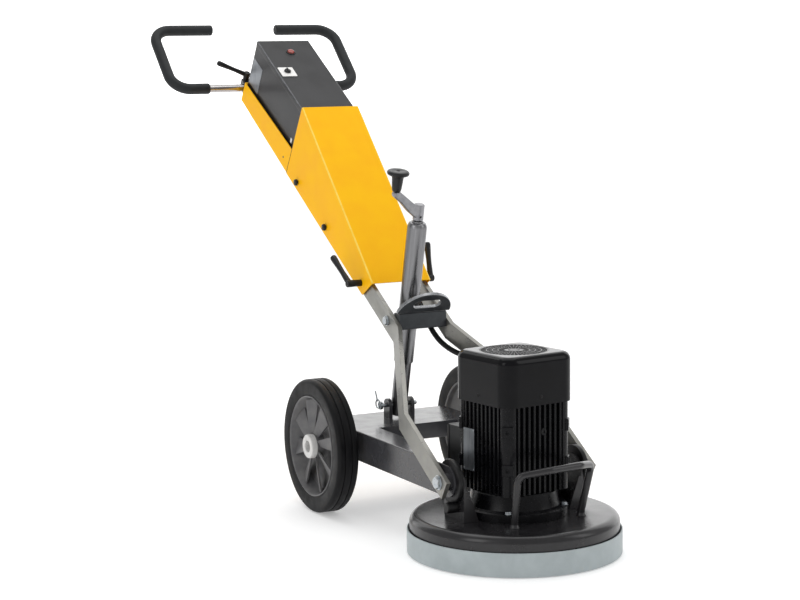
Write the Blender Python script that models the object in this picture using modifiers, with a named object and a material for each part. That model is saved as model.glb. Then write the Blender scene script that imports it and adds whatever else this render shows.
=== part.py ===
"""Walk-behind single-disc floor grinder, modelled as an assembly of its separate pieces.

Frame: +X forwards (from the operator to the grinding head), +Y to the operator's left, +Z up.
The origin is on the floor, under the middle of the machine. Lengths are in metres.
"""
import math

import bmesh
import bpy
from mathutils import Matrix, Vector

# ---------------------------------------------------------------- driving dimensions
GAP = 0.0003                 # clearance between pieces that touch
FIT = 0.0003                 # radial clearance of a pin in its hole

# Grinding head
DISC_X = 0.600               # disc axis, forwards of the origin
SKIRT_RADIUS = 0.225         # outside of the dust skirt
SKIRT_TOP = 0.051
SKIRT_BOTTOM = 0.002
SKIRT_WALL = 0.0048
SKIRT_LEDGE = 0.0020         # how far the skirt's lower part stands in towards the hood
HOOD_TOP = 0.083
HOOD_SHEET = 0.003
HOOD_SHOULDER = 0.016
HOOD_LIP = 0.020             # height of the hood's lower edge
PLATE_RADIUS = 0.195
PLATE_THICK = 0.012
SEGMENT_HEIGHT = 0.012
SEGMENT_COUNT = 3

# Motor, turned a little on its flange
MOTOR_TURN = math.radians(8.0)
MOTOR_HALF = 0.085           # half the width over the fins
FIN_DEPTH = 0.009
FINS_PER_SIDE = 9
FLANGE_RADIUS = 0.112
FLANGE_THICK = 0.017
SHIELD_TOP = 0.136           # top of the lower end shield's cone
HOUSING_TOP = 0.345
STATOR_RADIUS = 0.068
ROTOR_RADIUS = 0.045
AIR_GAP = 0.0008
BEARING_RADIUS = 0.026
BEARING_WIDTH = 0.015
SHAFT_RADIUS = 0.0125
COWL_STAND = 0.0055           # how far the fan cowl stands proud of the housing's fins
COWL_CORNER = 0.021
COWL_BOTTOM = 0.321
COWL_TOP = 0.424
COWL_SHEET = 0.0025
GRILLE_RADIUS = 0.0755
BOX_DEPTH = 0.070            # terminal box, outwards from the housing
BOX_WIDTH = 0.120
BOX_BOTTOM = 0.150
BOX_TOP = 0.253

# Lateral pivot through the head
PIVOT_Z = 0.164
PIVOT_BOLT = 0.0078
BRACKET_IN = 0.137           # inner face of the bracket plate, from the middle plane
BRACKET_THICK = 0.006
BRACKET_HALF = 0.042
BRACKET_TOP = 0.194
BRACKET_FOOT = 0.108         # how far in the gusset's foot reaches
BUSH_RADIUS = 0.046
BUSH_THICK = 0.0114
CHASSIS_SHEET = 0.004
CHASSIS_BOSS = 0.0097        # length of the chassis boss between flange and fork arm

# Fork arms and column, laid along one straight line from the pivot
SLOPE = math.radians(31.6)
ARM_WIDTH = 0.044
ARM_THICK = 0.010
ARM_END = -0.027
FOLD_OUT = 0.190             # distances along the line from the pivot
FOLD_IN = 0.4685
ARM_TOP = 0.700
ARM_SIDE_PLAY = 0.0007       # between the arm's upper stretch and the tray's inner flange
TRUNNION_Q = 0.5201
STUD_Q = 0.660
STUD_RADIUS = 0.0058
TRUNNION_BOLT = 0.0058

# Crossbar and lifting plate
CROSS_FRONT = 0.402          # behind the disc axis
CROSS_DEPTH = 0.026
CROSS_BOTTOM = 0.4185
CROSS_TOP = 0.4555
LIFT_HALF = 0.066
LIFT_HEIGHT = 0.060
LIFT_THICK = 0.008
LIFT_TILT = math.radians(46.0)
LIFT_SLOT_HALF = 0.033
LIFT_SLOT_RADIUS = 0.0100

# Levelling spindle
SPINDLE_TILT = math.radians(13.2)
SLEEVE_SINK = 0.0007         # how deep the cross sleeve is let into the tube's wall
SPINDLE_RADIUS = 0.0222
SPINDLE_WALL = 0.0028
SPINDLE_LOW = -0.1155        # along the spindle, from the point nearest the trunnion
SPINDLE_HIGH = 0.2165
INNER_PLAY = 0.0006          # radial clearance of the inner tube in the outer one
INNER_WALL = 0.0034
INNER_TOP = 0.050
INNER_TAIL = 0.024           # how far the inner tube runs past its pin
SCREW_RADIUS = 0.0080
SCREW_LOW = -0.070
SLEEVE_RADIUS = 0.0100
CLEVIS_Z = 0.228
CLEVIS_PIN = 0.0050
CLEVIS_PLAY = 0.0014         # play that stands in for the opened linkage
EAR_IN = 0.0245
EAR_THICK = 0.008
EAR_RADIUS = 0.0150
CRANK_RADIUS = 0.061
CRANK_HUB = 0.0120
CRANK_RISE = 0.037
KNOB_RADIUS = 0.025

# Chassis and wheels
CHASSIS_HALF = 0.159
CHASSIS_TOP = 0.197
CHASSIS_BOTTOM = 0.131
CHASSIS_REAR = 0.600         # distances behind the disc axis
CHASSIS_CUT = 0.430
CHASSIS_SHELF_END = 0.115
SIDE_SHELF = 0.060
REAR_LIP = 0.036
AXLE_X = 0.523
WHEEL_RADIUS = 0.152
TYRE_STEPS = 44              # flats round the tyre: one of them stands on the floor
RIM_RADIUS = 0.1143
WHEEL_WIDTH = 0.0512
WHEEL_OUT = 0.2276
AXLE_RADIUS = 0.0125
HUB_RADIUS = 0.0275
HUB_STAND = 0.0075           # how far the hub stands out beyond the tyre's face

# Column: tray, cover, control box
COLUMN_HALF = 0.0755
COLUMN_SHEET = 0.0020
COLUMN_BACK = -0.021         # outer face of the tray's floor, across the column
SEAM_Q = 1.131
COLUMN_END = 1.458
TRAY_END_DEPTH = 0.054
TRAY_SEAM_DEPTH = 0.069
COVER_SEAM_H = 0.1707
COVER_FOOT_Q = 0.613
COVER_FOOT_H = 0.0335
EAR_Q = 0.642
FLOOR_START_Q = 0.740
TRAY_FLANGE_H = 0.020
BOX_HALF = 0.068
BOX_WALL = 0.0025
LID_HALF = 0.0709
LID_TOP_H = 0.161
LID_LIP = 0.0145
LID_END_Q = 1.452
BUTTON_Q = 1.3955
BUTTON_RADIUS = 0.0093
SWITCH_Q = 1.303
SWITCH_Y = 0.045
SWITCH_RADIUS = 0.0085
SWITCH_HIGH = 0.0095          # knob's top above the lid

# Handlebar
BAR_Q = 1.480
BAR_H = 0.003
BAR_RADIUS = 0.0100
GRIP_RADIUS = 0.0137
BAR_HALF = 0.256
LOOP_HEIGHT = 0.2107
LOOP_ANGLE = math.radians(44.6)
LOOP_BEND = 0.045
GRIP_START = 0.160
GRIP_END = 0.092
LEVER_HUB = 0.0085
LEVER_LENGTH = 0.088
CLAMP_HALF = 0.0665
CLAMP_LOW = -0.012
CLAMP_HIGH = 0.018
CLAMP_END = 1.5025
BAR_LEVER_Q = 1.4945
BAR_LEVER_Y = 0.0575
BAR_STUD = 0.0030
BAR_LEVER_RISE = math.radians(20.0)
BAR_LEVER_BACK = 0.15
LEAN_RIGHT = math.radians(9.0)
LEAN_LEFT = math.radians(34.0)

ROUND = 36                   # steps around a large turned piece
SMALL = 20                   # steps around a small one

# ---------------------------------------------------------------- places worked out from them
DISC = Vector((DISC_X, 0.0, 0.0))
PIVOT = DISC + Vector((0.0, 0.0, PIVOT_Z))
UP_LINE = Vector((-math.cos(SLOPE), 0.0, math.sin(SLOPE)))
OUT_LINE = Vector((math.sin(SLOPE), 0.0, math.cos(SLOPE)))
BUSH_IN = BRACKET_IN + BRACKET_THICK + GAP
BUSH_OUT = BUSH_IN + BUSH_THICK
CHASSIS_IN = CHASSIS_HALF - CHASSIS_SHEET
BOSS_OUT = CHASSIS_HALF + CHASSIS_BOSS
ARM_IN_LOWER = BOSS_OUT + GAP
ARM_MID_LOWER = ARM_IN_LOWER + ARM_THICK / 2
ARM_OUT_LOWER = ARM_IN_LOWER + ARM_THICK
ARM_OUT_UPPER = COLUMN_HALF - 2 * COLUMN_SHEET - GAP - ARM_SIDE_PLAY
ARM_IN_UPPER = ARM_OUT_UPPER - ARM_THICK
ARM_MID_UPPER = ARM_OUT_UPPER - ARM_THICK / 2
COWL_HALF = MOTOR_HALF + COWL_STAND
INNER_RADIUS = SPINDLE_RADIUS - SPINDLE_WALL - INNER_PLAY
TRUNNION = PIVOT + UP_LINE * TRUNNION_Q
SPIN_UP = Vector((math.sin(SPINDLE_TILT), 0.0, math.cos(SPINDLE_TILT)))
SPIN_FRONT = Vector((math.cos(SPINDLE_TILT), 0.0, -math.sin(SPINDLE_TILT)))
SPINDLE_OFFSET = SPINDLE_RADIUS + SLEEVE_RADIUS - SLEEVE_SINK
SPINDLE = TRUNNION - SPIN_FRONT * SPINDLE_OFFSET
CLEVIS_W = (CLEVIS_Z - SPINDLE.z) / SPIN_UP.z
CLEVIS = SPINDLE + SPIN_UP * CLEVIS_W
AXLE = DISC + Vector((-AXLE_X, 0.0, WHEEL_RADIUS * math.cos(math.pi / TYRE_STEPS)))
PLATE_BOTTOM = SEGMENT_HEIGHT + GAP
PLATE_TOP = PLATE_BOTTOM + PLATE_THICK
HUB_TOP = 0.060
FLANGE_BOTTOM = HOOD_TOP + GAP
LOWER_BEARING_Z = FLANGE_BOTTOM + 0.004
UPPER_BEARING_Z = HOUSING_TOP + 0.004
STUD = PIVOT + UP_LINE * STUD_Q


def basis(origin, x_axis, y_axis, z_axis):
    """Placement with its origin and its three unit axes given in world terms."""
    rows = [[x_axis[i], y_axis[i], z_axis[i], origin[i]] for i in range(3)]
    return Matrix(rows + [[0.0, 0.0, 0.0, 1.0]])


# In the column frame X runs up along the column, Y to the operator's right, Z out of the lid.
COLUMN = basis(PIVOT, UP_LINE, Vector((0.0, -1.0, 0.0)), OUT_LINE)
SPINDLE_FRAME = basis(SPINDLE, SPIN_FRONT, Vector((0.0, 1.0, 0.0)), SPIN_UP)
HEAD = Matrix.Translation(DISC)
MOTOR = HEAD @ Matrix.Rotation(MOTOR_TURN, 4, 'Z')
BAR = COLUMN @ Matrix.Translation((BAR_Q, 0.0, BAR_H))


# ---------------------------------------------------------------- modelling helpers
def start_scene():
    for old in list(bpy.data.objects):
        bpy.data.objects.remove(old, do_unlink=True)
    parts = bpy.data.collections.new("floor_grinder")
    cutters = bpy.data.collections.new("cutters")
    bpy.context.scene.collection.children.link(parts)
    bpy.context.scene.collection.children.link(cutters)
    return parts, cutters


PARTS, CUTTERS = start_scene()
MATERIALS = {}


def material(name, colour, roughness, metallic):
    if name not in MATERIALS:
        made = bpy.data.materials.new(name)
        made.use_nodes = True
        shader = made.node_tree.nodes["Principled BSDF"]
        shader.inputs["Base Color"].default_value = (*colour, 1.0)
        shader.inputs["Roughness"].default_value = roughness
        shader.inputs["Metallic"].default_value = metallic
        MATERIALS[name] = made
    return MATERIALS[name]


def charcoal():
    return material("charcoal paint", (0.035, 0.035, 0.037), 0.4, 0.0)


def black_gloss():
    return material("black gloss paint", (0.008, 0.008, 0.009), 0.2, 0.0)


def black_motor():
    return material("black motor paint", (0.010, 0.010, 0.011), 0.4, 0.0)


def yellow():
    return material("yellow paint", (0.95, 0.52, 0.01), 0.35, 0.0)


def grey_steel():
    return material("grey painted steel", (0.30, 0.30, 0.29), 0.4, 0.2)


def zinc():
    return material("zinc plated steel", (0.62, 0.63, 0.65), 0.3, 1.0)


def steel():
    return material("bright steel", (0.45, 0.45, 0.46), 0.3, 1.0)


def cast_iron():
    return material("cast iron", (0.12, 0.12, 0.12), 0.6, 0.9)


def rubber():
    return material("black rubber", (0.015, 0.015, 0.015), 0.7, 0.0)


def skirt_rubber():
    return material("light grey rubber", (0.40, 0.44, 0.45), 0.6, 0.0)


def black_plastic():
    return material("black plastic", (0.012, 0.012, 0.013), 0.4, 0.0)


def grey_plastic():
    return material("grey plastic", (0.20, 0.20, 0.21), 0.5, 0.0)


def red_plastic():
    return material("red plastic", (0.45, 0.04, 0.01), 0.3, 0.0)


def add_object(name, data, place, collection):
    made = bpy.data.objects.new(name, data)
    collection.objects.link(made)
    made.matrix_world = place
    bpy.context.view_layer.update()
    return made


def bake(made):
    """Turn an object and its modifiers into a plain closed mesh at the same place."""
    bpy.context.view_layer.update()
    graph = bpy.context.evaluated_depsgraph_get()
    mesh = bpy.data.meshes.new_from_object(made.evaluated_get(graph))
    shape = bmesh.new()
    shape.from_mesh(mesh)
    bmesh.ops.remove_doubles(shape, verts=shape.verts, dist=0.00001)
    shape.to_mesh(mesh)
    shape.free()
    name = made.name
    place = made.matrix_world.copy()
    collection = made.users_collection[0]
    bpy.data.objects.remove(made, do_unlink=True)
    return add_object(name, mesh, place, collection)


def finish(made, look, smooth=True):
    """Name the finished piece's material and shade its round faces smooth."""
    made.data.materials.clear()
    made.data.materials.append(look)
    if smooth:
        made.data.shade_smooth()
        made.data.set_sharp_from_angle(angle=math.radians(35.0))
    return made


def box(name, low, high, place=HEAD, bevel=0.0, collection=None):
    """Box between two corners of a placement."""
    low = Vector(low)
    high = Vector(high)
    shape = bmesh.new()
    bmesh.ops.create_cube(shape, size=1.0)
    size = high - low
    bmesh.ops.scale(shape, vec=size, verts=shape.verts)
    bmesh.ops.translate(shape, vec=(low + high) / 2, verts=shape.verts)
    if bevel:
        bmesh.ops.bevel(shape, geom=list(shape.edges), offset=bevel, segments=2, profile=0.5, affect='EDGES')
    mesh = bpy.data.meshes.new(name)
    shape.to_mesh(mesh)
    shape.free()
    return add_object(name, mesh, place, collection or PARTS)


def turned(name, profile, place=HEAD, steps=ROUND, ring=False, collection=None):
    """Turn a profile of (radius, height) points round the placement's Z axis.

    The points run down the outer side; a ring's profile is closed.
    """
    mesh = bpy.data.meshes.new(name)
    count = len(profile)
    edges = [(i, i + 1) for i in range(count - 1)]
    if ring:
        edges.append((count - 1, 0))
    mesh.from_pydata([(radius, 0.0, height) for radius, height in profile], edges, [])
    made = add_object(name, mesh, place, collection or PARTS)
    screw = made.modifiers.new("turn", 'SCREW')
    screw.angle = 2.0 * math.pi
    screw.steps = steps
    screw.render_steps = steps
    screw.use_merge_vertices = True
    screw.merge_threshold = 0.00001
    return bake(made)


def ring(name, outer, inner, low, high, place=HEAD, steps=ROUND, collection=None):
    profile = [(outer, high), (outer, low), (inner, low), (inner, high)]
    return turned(name, profile, place, steps, True, collection)


def rod(name, radius, low, high, place, steps=SMALL, collection=None):
    profile = [(0.0, high), (radius, high), (radius, low), (0.0, low)]
    return turned(name, profile, place, steps, False, collection)


def along_y(point):
    """Placement whose Z axis is the world's Y axis."""
    return basis(point, Vector((0.0, 0.0, 1.0)), Vector((1.0, 0.0, 0.0)), Vector((0.0, 1.0, 0.0)))


def plate(name, outlines, thick, place, collection=None):
    """Flat piece from closed outlines in the placement's XY plane, thick about that plane."""
    data = bpy.data.curves.new(name, 'CURVE')
    data.dimensions = '2D'
    data.fill_mode = 'BOTH'
    data.extrude = thick / 2
    for outline in outlines:
        spline = data.splines.new('POLY')
        spline.points.add(len(outline) - 1)
        for point, (x, y) in zip(spline.points, outline):
            point.co = (x, y, 0.0, 1.0)
        spline.use_cyclic_u = True
    return bake(add_object(name, data, place, collection or PARTS))


def tube(name, points, radius, place=HEAD, sides=2, collection=None):
    """Round bar through points, with filled ends."""
    data = bpy.data.curves.new(name, 'CURVE')
    data.dimensions = '3D'
    data.bevel_depth = radius
    data.bevel_resolution = sides
    data.use_fill_caps = True
    spline = data.splines.new('POLY')
    spline.points.add(len(points) - 1)
    for point, place_of_point in zip(spline.points, points):
        point.co = (*place_of_point, 1.0)
    return bake(add_object(name, data, place, collection or PARTS))


def combine(made, other, operation):
    """Boolean two closed pieces into one and remove the second."""
    joint = made.modifiers.new(operation.lower(), 'BOOLEAN')
    joint.operation = operation
    joint.solver = 'EXACT'
    joint.object = other
    made = bake(made)
    bpy.data.objects.remove(other, do_unlink=True)
    return made


def cut(made, cutter):
    cutter.hide_render = True
    cutter.display_type = 'WIRE'
    return combine(made, cutter, 'DIFFERENCE')


def weld(made, other):
    return combine(made, other, 'UNION')


def bore_y(made, point, radius, reach=0.5, steps=SMALL):
    """Drill right across the machine through a point."""
    return cut(made, rod("drill", radius, -reach, reach, along_y(point), steps, CUTTERS))


def on_column(along, right, out):
    """World point from column coordinates."""
    return COLUMN @ Vector((along, right, out))


def arc(centre, radius, start, end, count):
    """Points of an arc, angles in degrees, both ends included."""
    points = []
    for i in range(count + 1):
        angle = math.radians(start + (end - start) * i / count)
        points.append((centre[0] + radius * math.cos(angle), centre[1] + radius * math.sin(angle)))
    return points


def rounded_square(half, corner, count=4):
    """Outline of a square with round corners."""
    reach = half - corner
    points = []
    for i, (x, y) in enumerate(((1, 1), (-1, 1), (-1, -1), (1, -1))):
        points += arc((x * reach, y * reach), corner, 90.0 * i, 90.0 * i + 90.0, count)
    return points


def offset_path(path, distance):
    """Points of an open path moved sideways, mitred at its folds."""
    moved = []
    for i, point in enumerate(path):
        here = Vector(point)
        before = (here - Vector(path[i - 1])).normalized() if i else None
        after = (Vector(path[i + 1]) - here).normalized() if i + 1 < len(path) else None
        before = before or after
        after = after or before
        side = Vector((-before.y - after.y, before.x + after.x)).normalized()
        reach = distance / side.dot(Vector((-before.y, before.x)))
        moved.append(tuple(here + side * reach))
    return moved


def round_corners(path, radius, count=4):
    """Replace each inner corner of a 3D path by an arc."""
    points = [Vector(path[0])]
    for before, here, after in zip(path, path[1:], path[2:]):
        here = Vector(here)
        back = (Vector(before) - here).normalized()
        on = (Vector(after) - here).normalized()
        half = back.angle(on) / 2
        middle = here + (back + on).normalized() * (radius / math.sin(half))
        first = here + back * (radius / math.tan(half)) - middle
        last = here + on * (radius / math.tan(half)) - middle
        sweep = first.angle(last)
        for i in range(count + 1):
            share = i / count
            weight = math.sin(sweep)
            turned_arm = (first * math.sin((1 - share) * sweep) + last * math.sin(share * sweep)) / weight
            points.append(middle + turned_arm)
    points.append(Vector(path[-1]))
    return points


def smooth_route(points, steps):
    """Points along a smooth curve through the route's own points."""
    route = [Vector(p) for p in points]
    padded = [2 * route[0] - route[1]] + route + [2 * route[-1] - route[-2]]
    smooth = []
    for a, b, c, d in zip(padded, padded[1:], padded[2:], padded[3:]):
        for i in range(steps):
            t = i / steps
            smooth.append(0.5 * (2 * b + (c - a) * t + (2 * a - 5 * b + 4 * c - d) * t ** 2
                                 + (3 * b - a - 3 * c + d) * t ** 3))
    smooth.append(route[-1])
    return smooth


def hinge_point(name, point, pieces):
    """Empty on a joint's axis that carries the pieces turning about it."""
    empty = add_object(name, None, Matrix.Translation(point), PARTS)
    for piece in pieces:
        piece.parent = empty
        piece.matrix_parent_inverse = empty.matrix_world.inverted()


# ---------------------------------------------------------------- grinding head
def make_hood():
    """Pressed round hood with a rolled shoulder, open below, with a hole for the motor's pilot."""
    radius = SKIRT_RADIUS - SKIRT_WALL - 2 * GAP
    inner = radius - HOOD_SHEET
    low = HOOD_TOP - HOOD_SHOULDER
    outside = arc((radius - HOOD_SHOULDER, low), HOOD_SHOULDER, 90.0, 0.0, 4)
    inside = arc((radius - HOOD_SHOULDER, low), HOOD_SHOULDER - HOOD_SHEET, 0.0, 90.0, 4)
    hole = STATOR_RADIUS + 0.007
    profile = [(hole, HOOD_TOP)] + outside + [(radius, HOOD_LIP), (inner, HOOD_LIP)] + inside
    profile.append((hole, HOOD_TOP - HOOD_SHEET))
    return finish(turned("hood", profile, ring=True), charcoal())


def make_skirt():
    """Rubber ring round the hood: clear of it at the top edge, close to it lower down."""
    inner = SKIRT_RADIUS - SKIRT_WALL
    wide = inner + SKIRT_LEDGE
    profile = [(SKIRT_RADIUS, SKIRT_TOP), (SKIRT_RADIUS, SKIRT_BOTTOM), (inner, SKIRT_BOTTOM)]
    profile += [(inner, SKIRT_TOP - 0.008), (wide, SKIRT_TOP - 0.006), (wide, SKIRT_TOP)]
    return finish(turned("dust_skirt", profile, ring=True), skirt_rubber())


def make_drive_end_shield():
    """Round foot flange with a cone up to the housing and the lower bearing's seat."""
    spigot = STATOR_RADIUS + 0.0065
    seat = BEARING_RADIUS + GAP
    top = LOWER_BEARING_Z + BEARING_WIDTH + GAP
    profile = [(spigot, SHIELD_TOP), (spigot + 0.008, SHIELD_TOP), (spigot + 0.014, SHIELD_TOP - 0.016)]
    profile += [(spigot + 0.020, FLANGE_BOTTOM + FLANGE_THICK), (FLANGE_RADIUS, FLANGE_BOTTOM + FLANGE_THICK)]
    profile += [(FLANGE_RADIUS, FLANGE_BOTTOM), (spigot, FLANGE_BOTTOM), (spigot, HOOD_TOP - HOOD_SHEET)]
    profile += [(SHAFT_RADIUS + 0.002, HOOD_TOP - HOOD_SHEET), (SHAFT_RADIUS + 0.002, LOWER_BEARING_Z - GAP)]
    profile += [(seat, LOWER_BEARING_Z - GAP), (seat, top), (seat + 0.008, top)]
    return finish(turned("drive_end_shield", profile, MOTOR, ring=True), black_motor())


def fin_outline():
    """Square outline with a comb of vertical fins on each side and plain round corners."""
    base = MOTOR_HALF - FIN_DEPTH
    span = 2 * (MOTOR_HALF - 0.022)
    pitch = span / FINS_PER_SIDE
    outline = []
    for side in range(4):
        turn = Matrix.Rotation(math.radians(90.0 * side), 2)
        face = [(MOTOR_HALF, -span / 2)]
        for i in range(FINS_PER_SIDE - 1):
            middle = -span / 2 + pitch * (i + 1)
            for reach, along in ((MOTOR_HALF, -0.33), (base, -0.25), (base, 0.25), (MOTOR_HALF, 0.33)):
                face.append((reach, middle + pitch * along))
        face.append((MOTOR_HALF, span / 2))
        face += arc((span / 2, span / 2), MOTOR_HALF - span / 2, 22.5, 67.5, 2)
        outline += [tuple(turn @ Vector(point)) for point in face]
    return outline


def make_motor_housing():
    low = SHIELD_TOP + GAP
    middle = (low + HOUSING_TOP) / 2
    bore = arc((0.0, 0.0), STATOR_RADIUS, 0.0, 360.0, ROUND)[:-1]
    place = MOTOR @ Matrix.Translation((0.0, 0.0, middle))
    made = plate("motor_housing", [fin_outline(), bore], HOUSING_TOP - low, place)
    return finish(made, black_motor())


def make_top_end_shield():
    seat = BEARING_RADIUS + GAP
    outer = STATOR_RADIUS + 0.006
    low = HOUSING_TOP + GAP
    top = UPPER_BEARING_Z + BEARING_WIDTH + 0.002
    profile = [(seat, top), (seat + 0.006, top), (seat + 0.010, low + 0.008), (outer, low + 0.008),
            (outer, low)]
    profile += [(SHAFT_RADIUS + 0.002, low), (SHAFT_RADIUS + 0.002, UPPER_BEARING_Z - GAP)]
    profile.append((seat, UPPER_BEARING_Z - GAP))
    return finish(turned("top_end_shield", profile, MOTOR, ring=True), black_motor())


def make_fan_cowl():
    """Square cap with round corners over the fan, open below, with a ring of air slots on top."""
    height = COWL_TOP - COWL_BOTTOM
    place = MOTOR @ Matrix.Translation((0.0, 0.0, COWL_BOTTOM + height / 2))
    made = plate("fan_cowl", [rounded_square(COWL_HALF, COWL_CORNER)], height, place)
    shape = bmesh.new()
    shape.from_mesh(made.data)
    bmesh.ops.dissolve_limit(shape, angle_limit=0.01, verts=shape.verts, edges=shape.edges)
    rim = [e for e in shape.edges if all(v.co.z > height / 2 - 0.001 for v in e.verts)]
    bmesh.ops.bevel(shape, geom=rim, offset=0.007, segments=2, profile=0.5, affect='EDGES')
    shape.to_mesh(made.data)
    shape.free()
    inside = rounded_square(COWL_HALF - COWL_SHEET, COWL_CORNER - COWL_SHEET)
    hollow_place = MOTOR @ Matrix.Translation((0.0, 0.0, COWL_BOTTOM + height / 2 - 0.004))
    made = cut(made, plate("hollow", [inside], height, hollow_place, CUTTERS))
    for i in range(4):
        middle = 45.0 + 90.0 * i
        slot = arc((0.0, 0.0), 0.060, middle - 36.0, middle + 36.0, 6)
        slot += arc((0.0, 0.0), 0.036, middle + 34.0, middle - 34.0, 6)
        top = MOTOR @ Matrix.Translation((0.0, 0.0, COWL_TOP))
        made = cut(made, plate("slot", [slot], 0.03, top, CUTTERS))
    return finish(made, black_gloss())


def make_terminal_box():
    """Box on the motor's side that faces the operator, open outwards under its own lid."""
    back = -MOTOR_HALF - GAP
    out = back - BOX_DEPTH + 0.012
    half = BOX_WIDTH / 2
    made = box("terminal_box", (out, -half, BOX_BOTTOM), (back, half, BOX_TOP), MOTOR)
    wall = 0.003
    made = cut(made, box("hollow", (out - wall, -half + wall, BOX_BOTTOM + wall),
                         (back - wall, half - wall, BOX_TOP - wall), MOTOR, collection=CUTTERS))
    gland_hole = rod("gland_hole", 0.0093, 0.0, 0.02, gland_place(BOX_TOP - 0.01), SMALL, CUTTERS)
    made = finish(cut(made, gland_hole), black_plastic(), False)
    lid = box("terminal_box_lid", (out - 0.012, -half, BOX_BOTTOM), (out - GAP, half, BOX_TOP), MOTOR, 0.003)
    return made, finish(lid, black_plastic(), False)


def gland_place(height):
    return MOTOR @ Matrix.Translation((-MOTOR_HALF - BOX_DEPTH * 0.42, 0.020, height))


def make_gland():
    """Cable gland: threaded neck through the box's wall, hexagon and round nut."""
    profile = [(0.0068, 0.0225), (0.0100, 0.0225), (0.0115, 0.0180), (0.0115, 0.0100), (0.0130, 0.0100)]
    profile += [(0.0130, GAP), (0.0090, GAP), (0.0090, -0.0060), (0.0068, -0.0060)]
    return finish(turned("cable_gland", profile, gland_place(BOX_TOP), SMALL, True), black_plastic())


def make_front_handle():
    """Bent round bar: two legs on the hood and a bar that bows forwards between them."""
    foot = Vector((0.111, 0.088, HOOD_TOP + GAP))
    bend = Vector((0.134, 0.096, 0.192))
    front = Vector((0.166, 0.046, 0.203))
    ankle = Vector((foot.x, foot.y, HOOD_TOP + 0.010))
    half = [bend, front]
    path = [ankle] + half + [Vector((p.x, -p.y, p.z)) for p in reversed([ankle] + half)]
    path = round_corners(path, 0.020, 3)
    path = [foot] + path + [Vector((foot.x, -foot.y, foot.z))]
    made = tube("front_handle", path, 0.0075, MOTOR, 3)
    return finish(made, charcoal())


def make_bracket(name, side):
    """Upright plate that holds the pivot, with a triangular gusset at its front and rear edge."""
    low = HOOD_TOP + GAP
    outline = [(-BRACKET_HALF, low), (BRACKET_HALF, low)]
    outline += arc((0.0, BRACKET_TOP - BRACKET_HALF), BRACKET_HALF, 0.0, 180.0, 10)
    middle = side * (BRACKET_IN + BRACKET_THICK / 2)
    place = basis(DISC + Vector((0.0, middle, 0.0)), Vector((1, 0, 0)), Vector((0, 0, 1)), Vector((0, -1, 0)))
    made = plate(name, [outline], BRACKET_THICK, place)
    for end in (-1.0, 1.0):
        gusset = [(BRACKET_FOOT, low), (BRACKET_IN + 0.001, low), (BRACKET_IN + 0.001, PIVOT_Z - 0.012)]
        gusset.append((BRACKET_IN - 0.004, PIVOT_Z - 0.012))
        where = DISC + Vector((end * (BRACKET_HALF - 0.0031), 0.0, 0.0))
        turn = basis(where, Vector((0, side, 0)), Vector((0, 0, 1)), Vector((side, 0, 0)))
        made = weld(made, plate("gusset", [gusset], 0.006, turn, CUTTERS))
    return finish(bore_y(made, PIVOT, PIVOT_BOLT + FIT), charcoal())


def make_pivot_side(word, side):
    """Rubber bush and hexagon bolt on one side of the head."""
    across = basis(PIVOT, Vector((0, 0, 1)), Vector((side, 0, 0)), Vector((0, side, 0)))
    hole = PIVOT_BOLT + FIT
    rim = 0.003
    profile = [(BUSH_RADIUS - rim, BUSH_OUT), (BUSH_RADIUS, BUSH_OUT - rim), (BUSH_RADIUS, BUSH_IN + rim)]
    profile += [(BUSH_RADIUS - rim, BUSH_IN), (hole, BUSH_IN), (hole, BUSH_OUT)]
    bush = finish(turned("pivot_bush_" + word, profile, across, 32, True), rubber())
    head_low = ARM_OUT_LOWER + GAP
    bolt = rod("pivot_bolt_" + word, PIVOT_BOLT, BRACKET_IN - 0.006, head_low + 0.003, across)
    head = rod("head", 0.0135, head_low, head_low + 0.008, across, 6, CUTTERS)
    return bush, finish(weld(bolt, head), zinc(), False)


def make_bearing(name, low):
    made = ring(name, BEARING_RADIUS, SHAFT_RADIUS + GAP, low, low + BEARING_WIDTH, MOTOR, 32)
    return finish(made, steel())


# ---------------------------------------------------------------- what turns under and in the motor
def make_rotor():
    shaft_low = PLATE_TOP + 0.004
    shaft_top = COWL_TOP - 0.030
    core_low = 0.180
    core_top = 0.300
    profile = [(0.0, shaft_top), (0.009, shaft_top), (0.009, UPPER_BEARING_Z + BEARING_WIDTH + 0.004)]
    profile += [(SHAFT_RADIUS, UPPER_BEARING_Z + BEARING_WIDTH + 0.004), (SHAFT_RADIUS, shaft_low), (0.0,
            shaft_low)]
    shaft = finish(turned("motor_shaft", profile, MOTOR, 24), steel())
    core = finish(ring("rotor_core", ROTOR_RADIUS, SHAFT_RADIUS + GAP, core_low, core_top, MOTOR), steel())
    stator = ring("stator_core", STATOR_RADIUS - GAP, ROTOR_RADIUS + AIR_GAP, core_low, core_top, MOTOR)
    return shaft, core, finish(stator, steel())


def make_fan():
    """Cooling fan: a hub with a disc and upright blades."""
    low = UPPER_BEARING_Z + BEARING_WIDTH + 0.008
    made = ring("cooling_fan", 0.064, 0.009 + GAP, low, low + 0.004, MOTOR, 32)
    made = weld(made, ring("hub", 0.018, 0.009 + GAP, low + 0.001, low + 0.016, MOTOR, 24, CUTTERS))
    for i in range(6):
        turn = MOTOR @ Matrix.Rotation(math.radians(60.0 * i), 4, 'Z')
        made = weld(made, box("blade", (0.016, -0.0012, low + 0.002), (0.062, 0.0012, low + 0.022), turn,
                              collection=CUTTERS))
    return finish(made, black_plastic(), False)


def make_drive_hub():
    """Flanged hub on the shaft end that carries the grinding plate."""
    hole = SHAFT_RADIUS + GAP
    low = PLATE_TOP + GAP
    profile = [(0.030, HUB_TOP), (0.030, low + 0.010), (0.055, low + 0.010), (0.055, low), (hole, low),
            (hole, HUB_TOP)]
    return finish(turned("drive_hub", profile, MOTOR, 32, True), steel())


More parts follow.
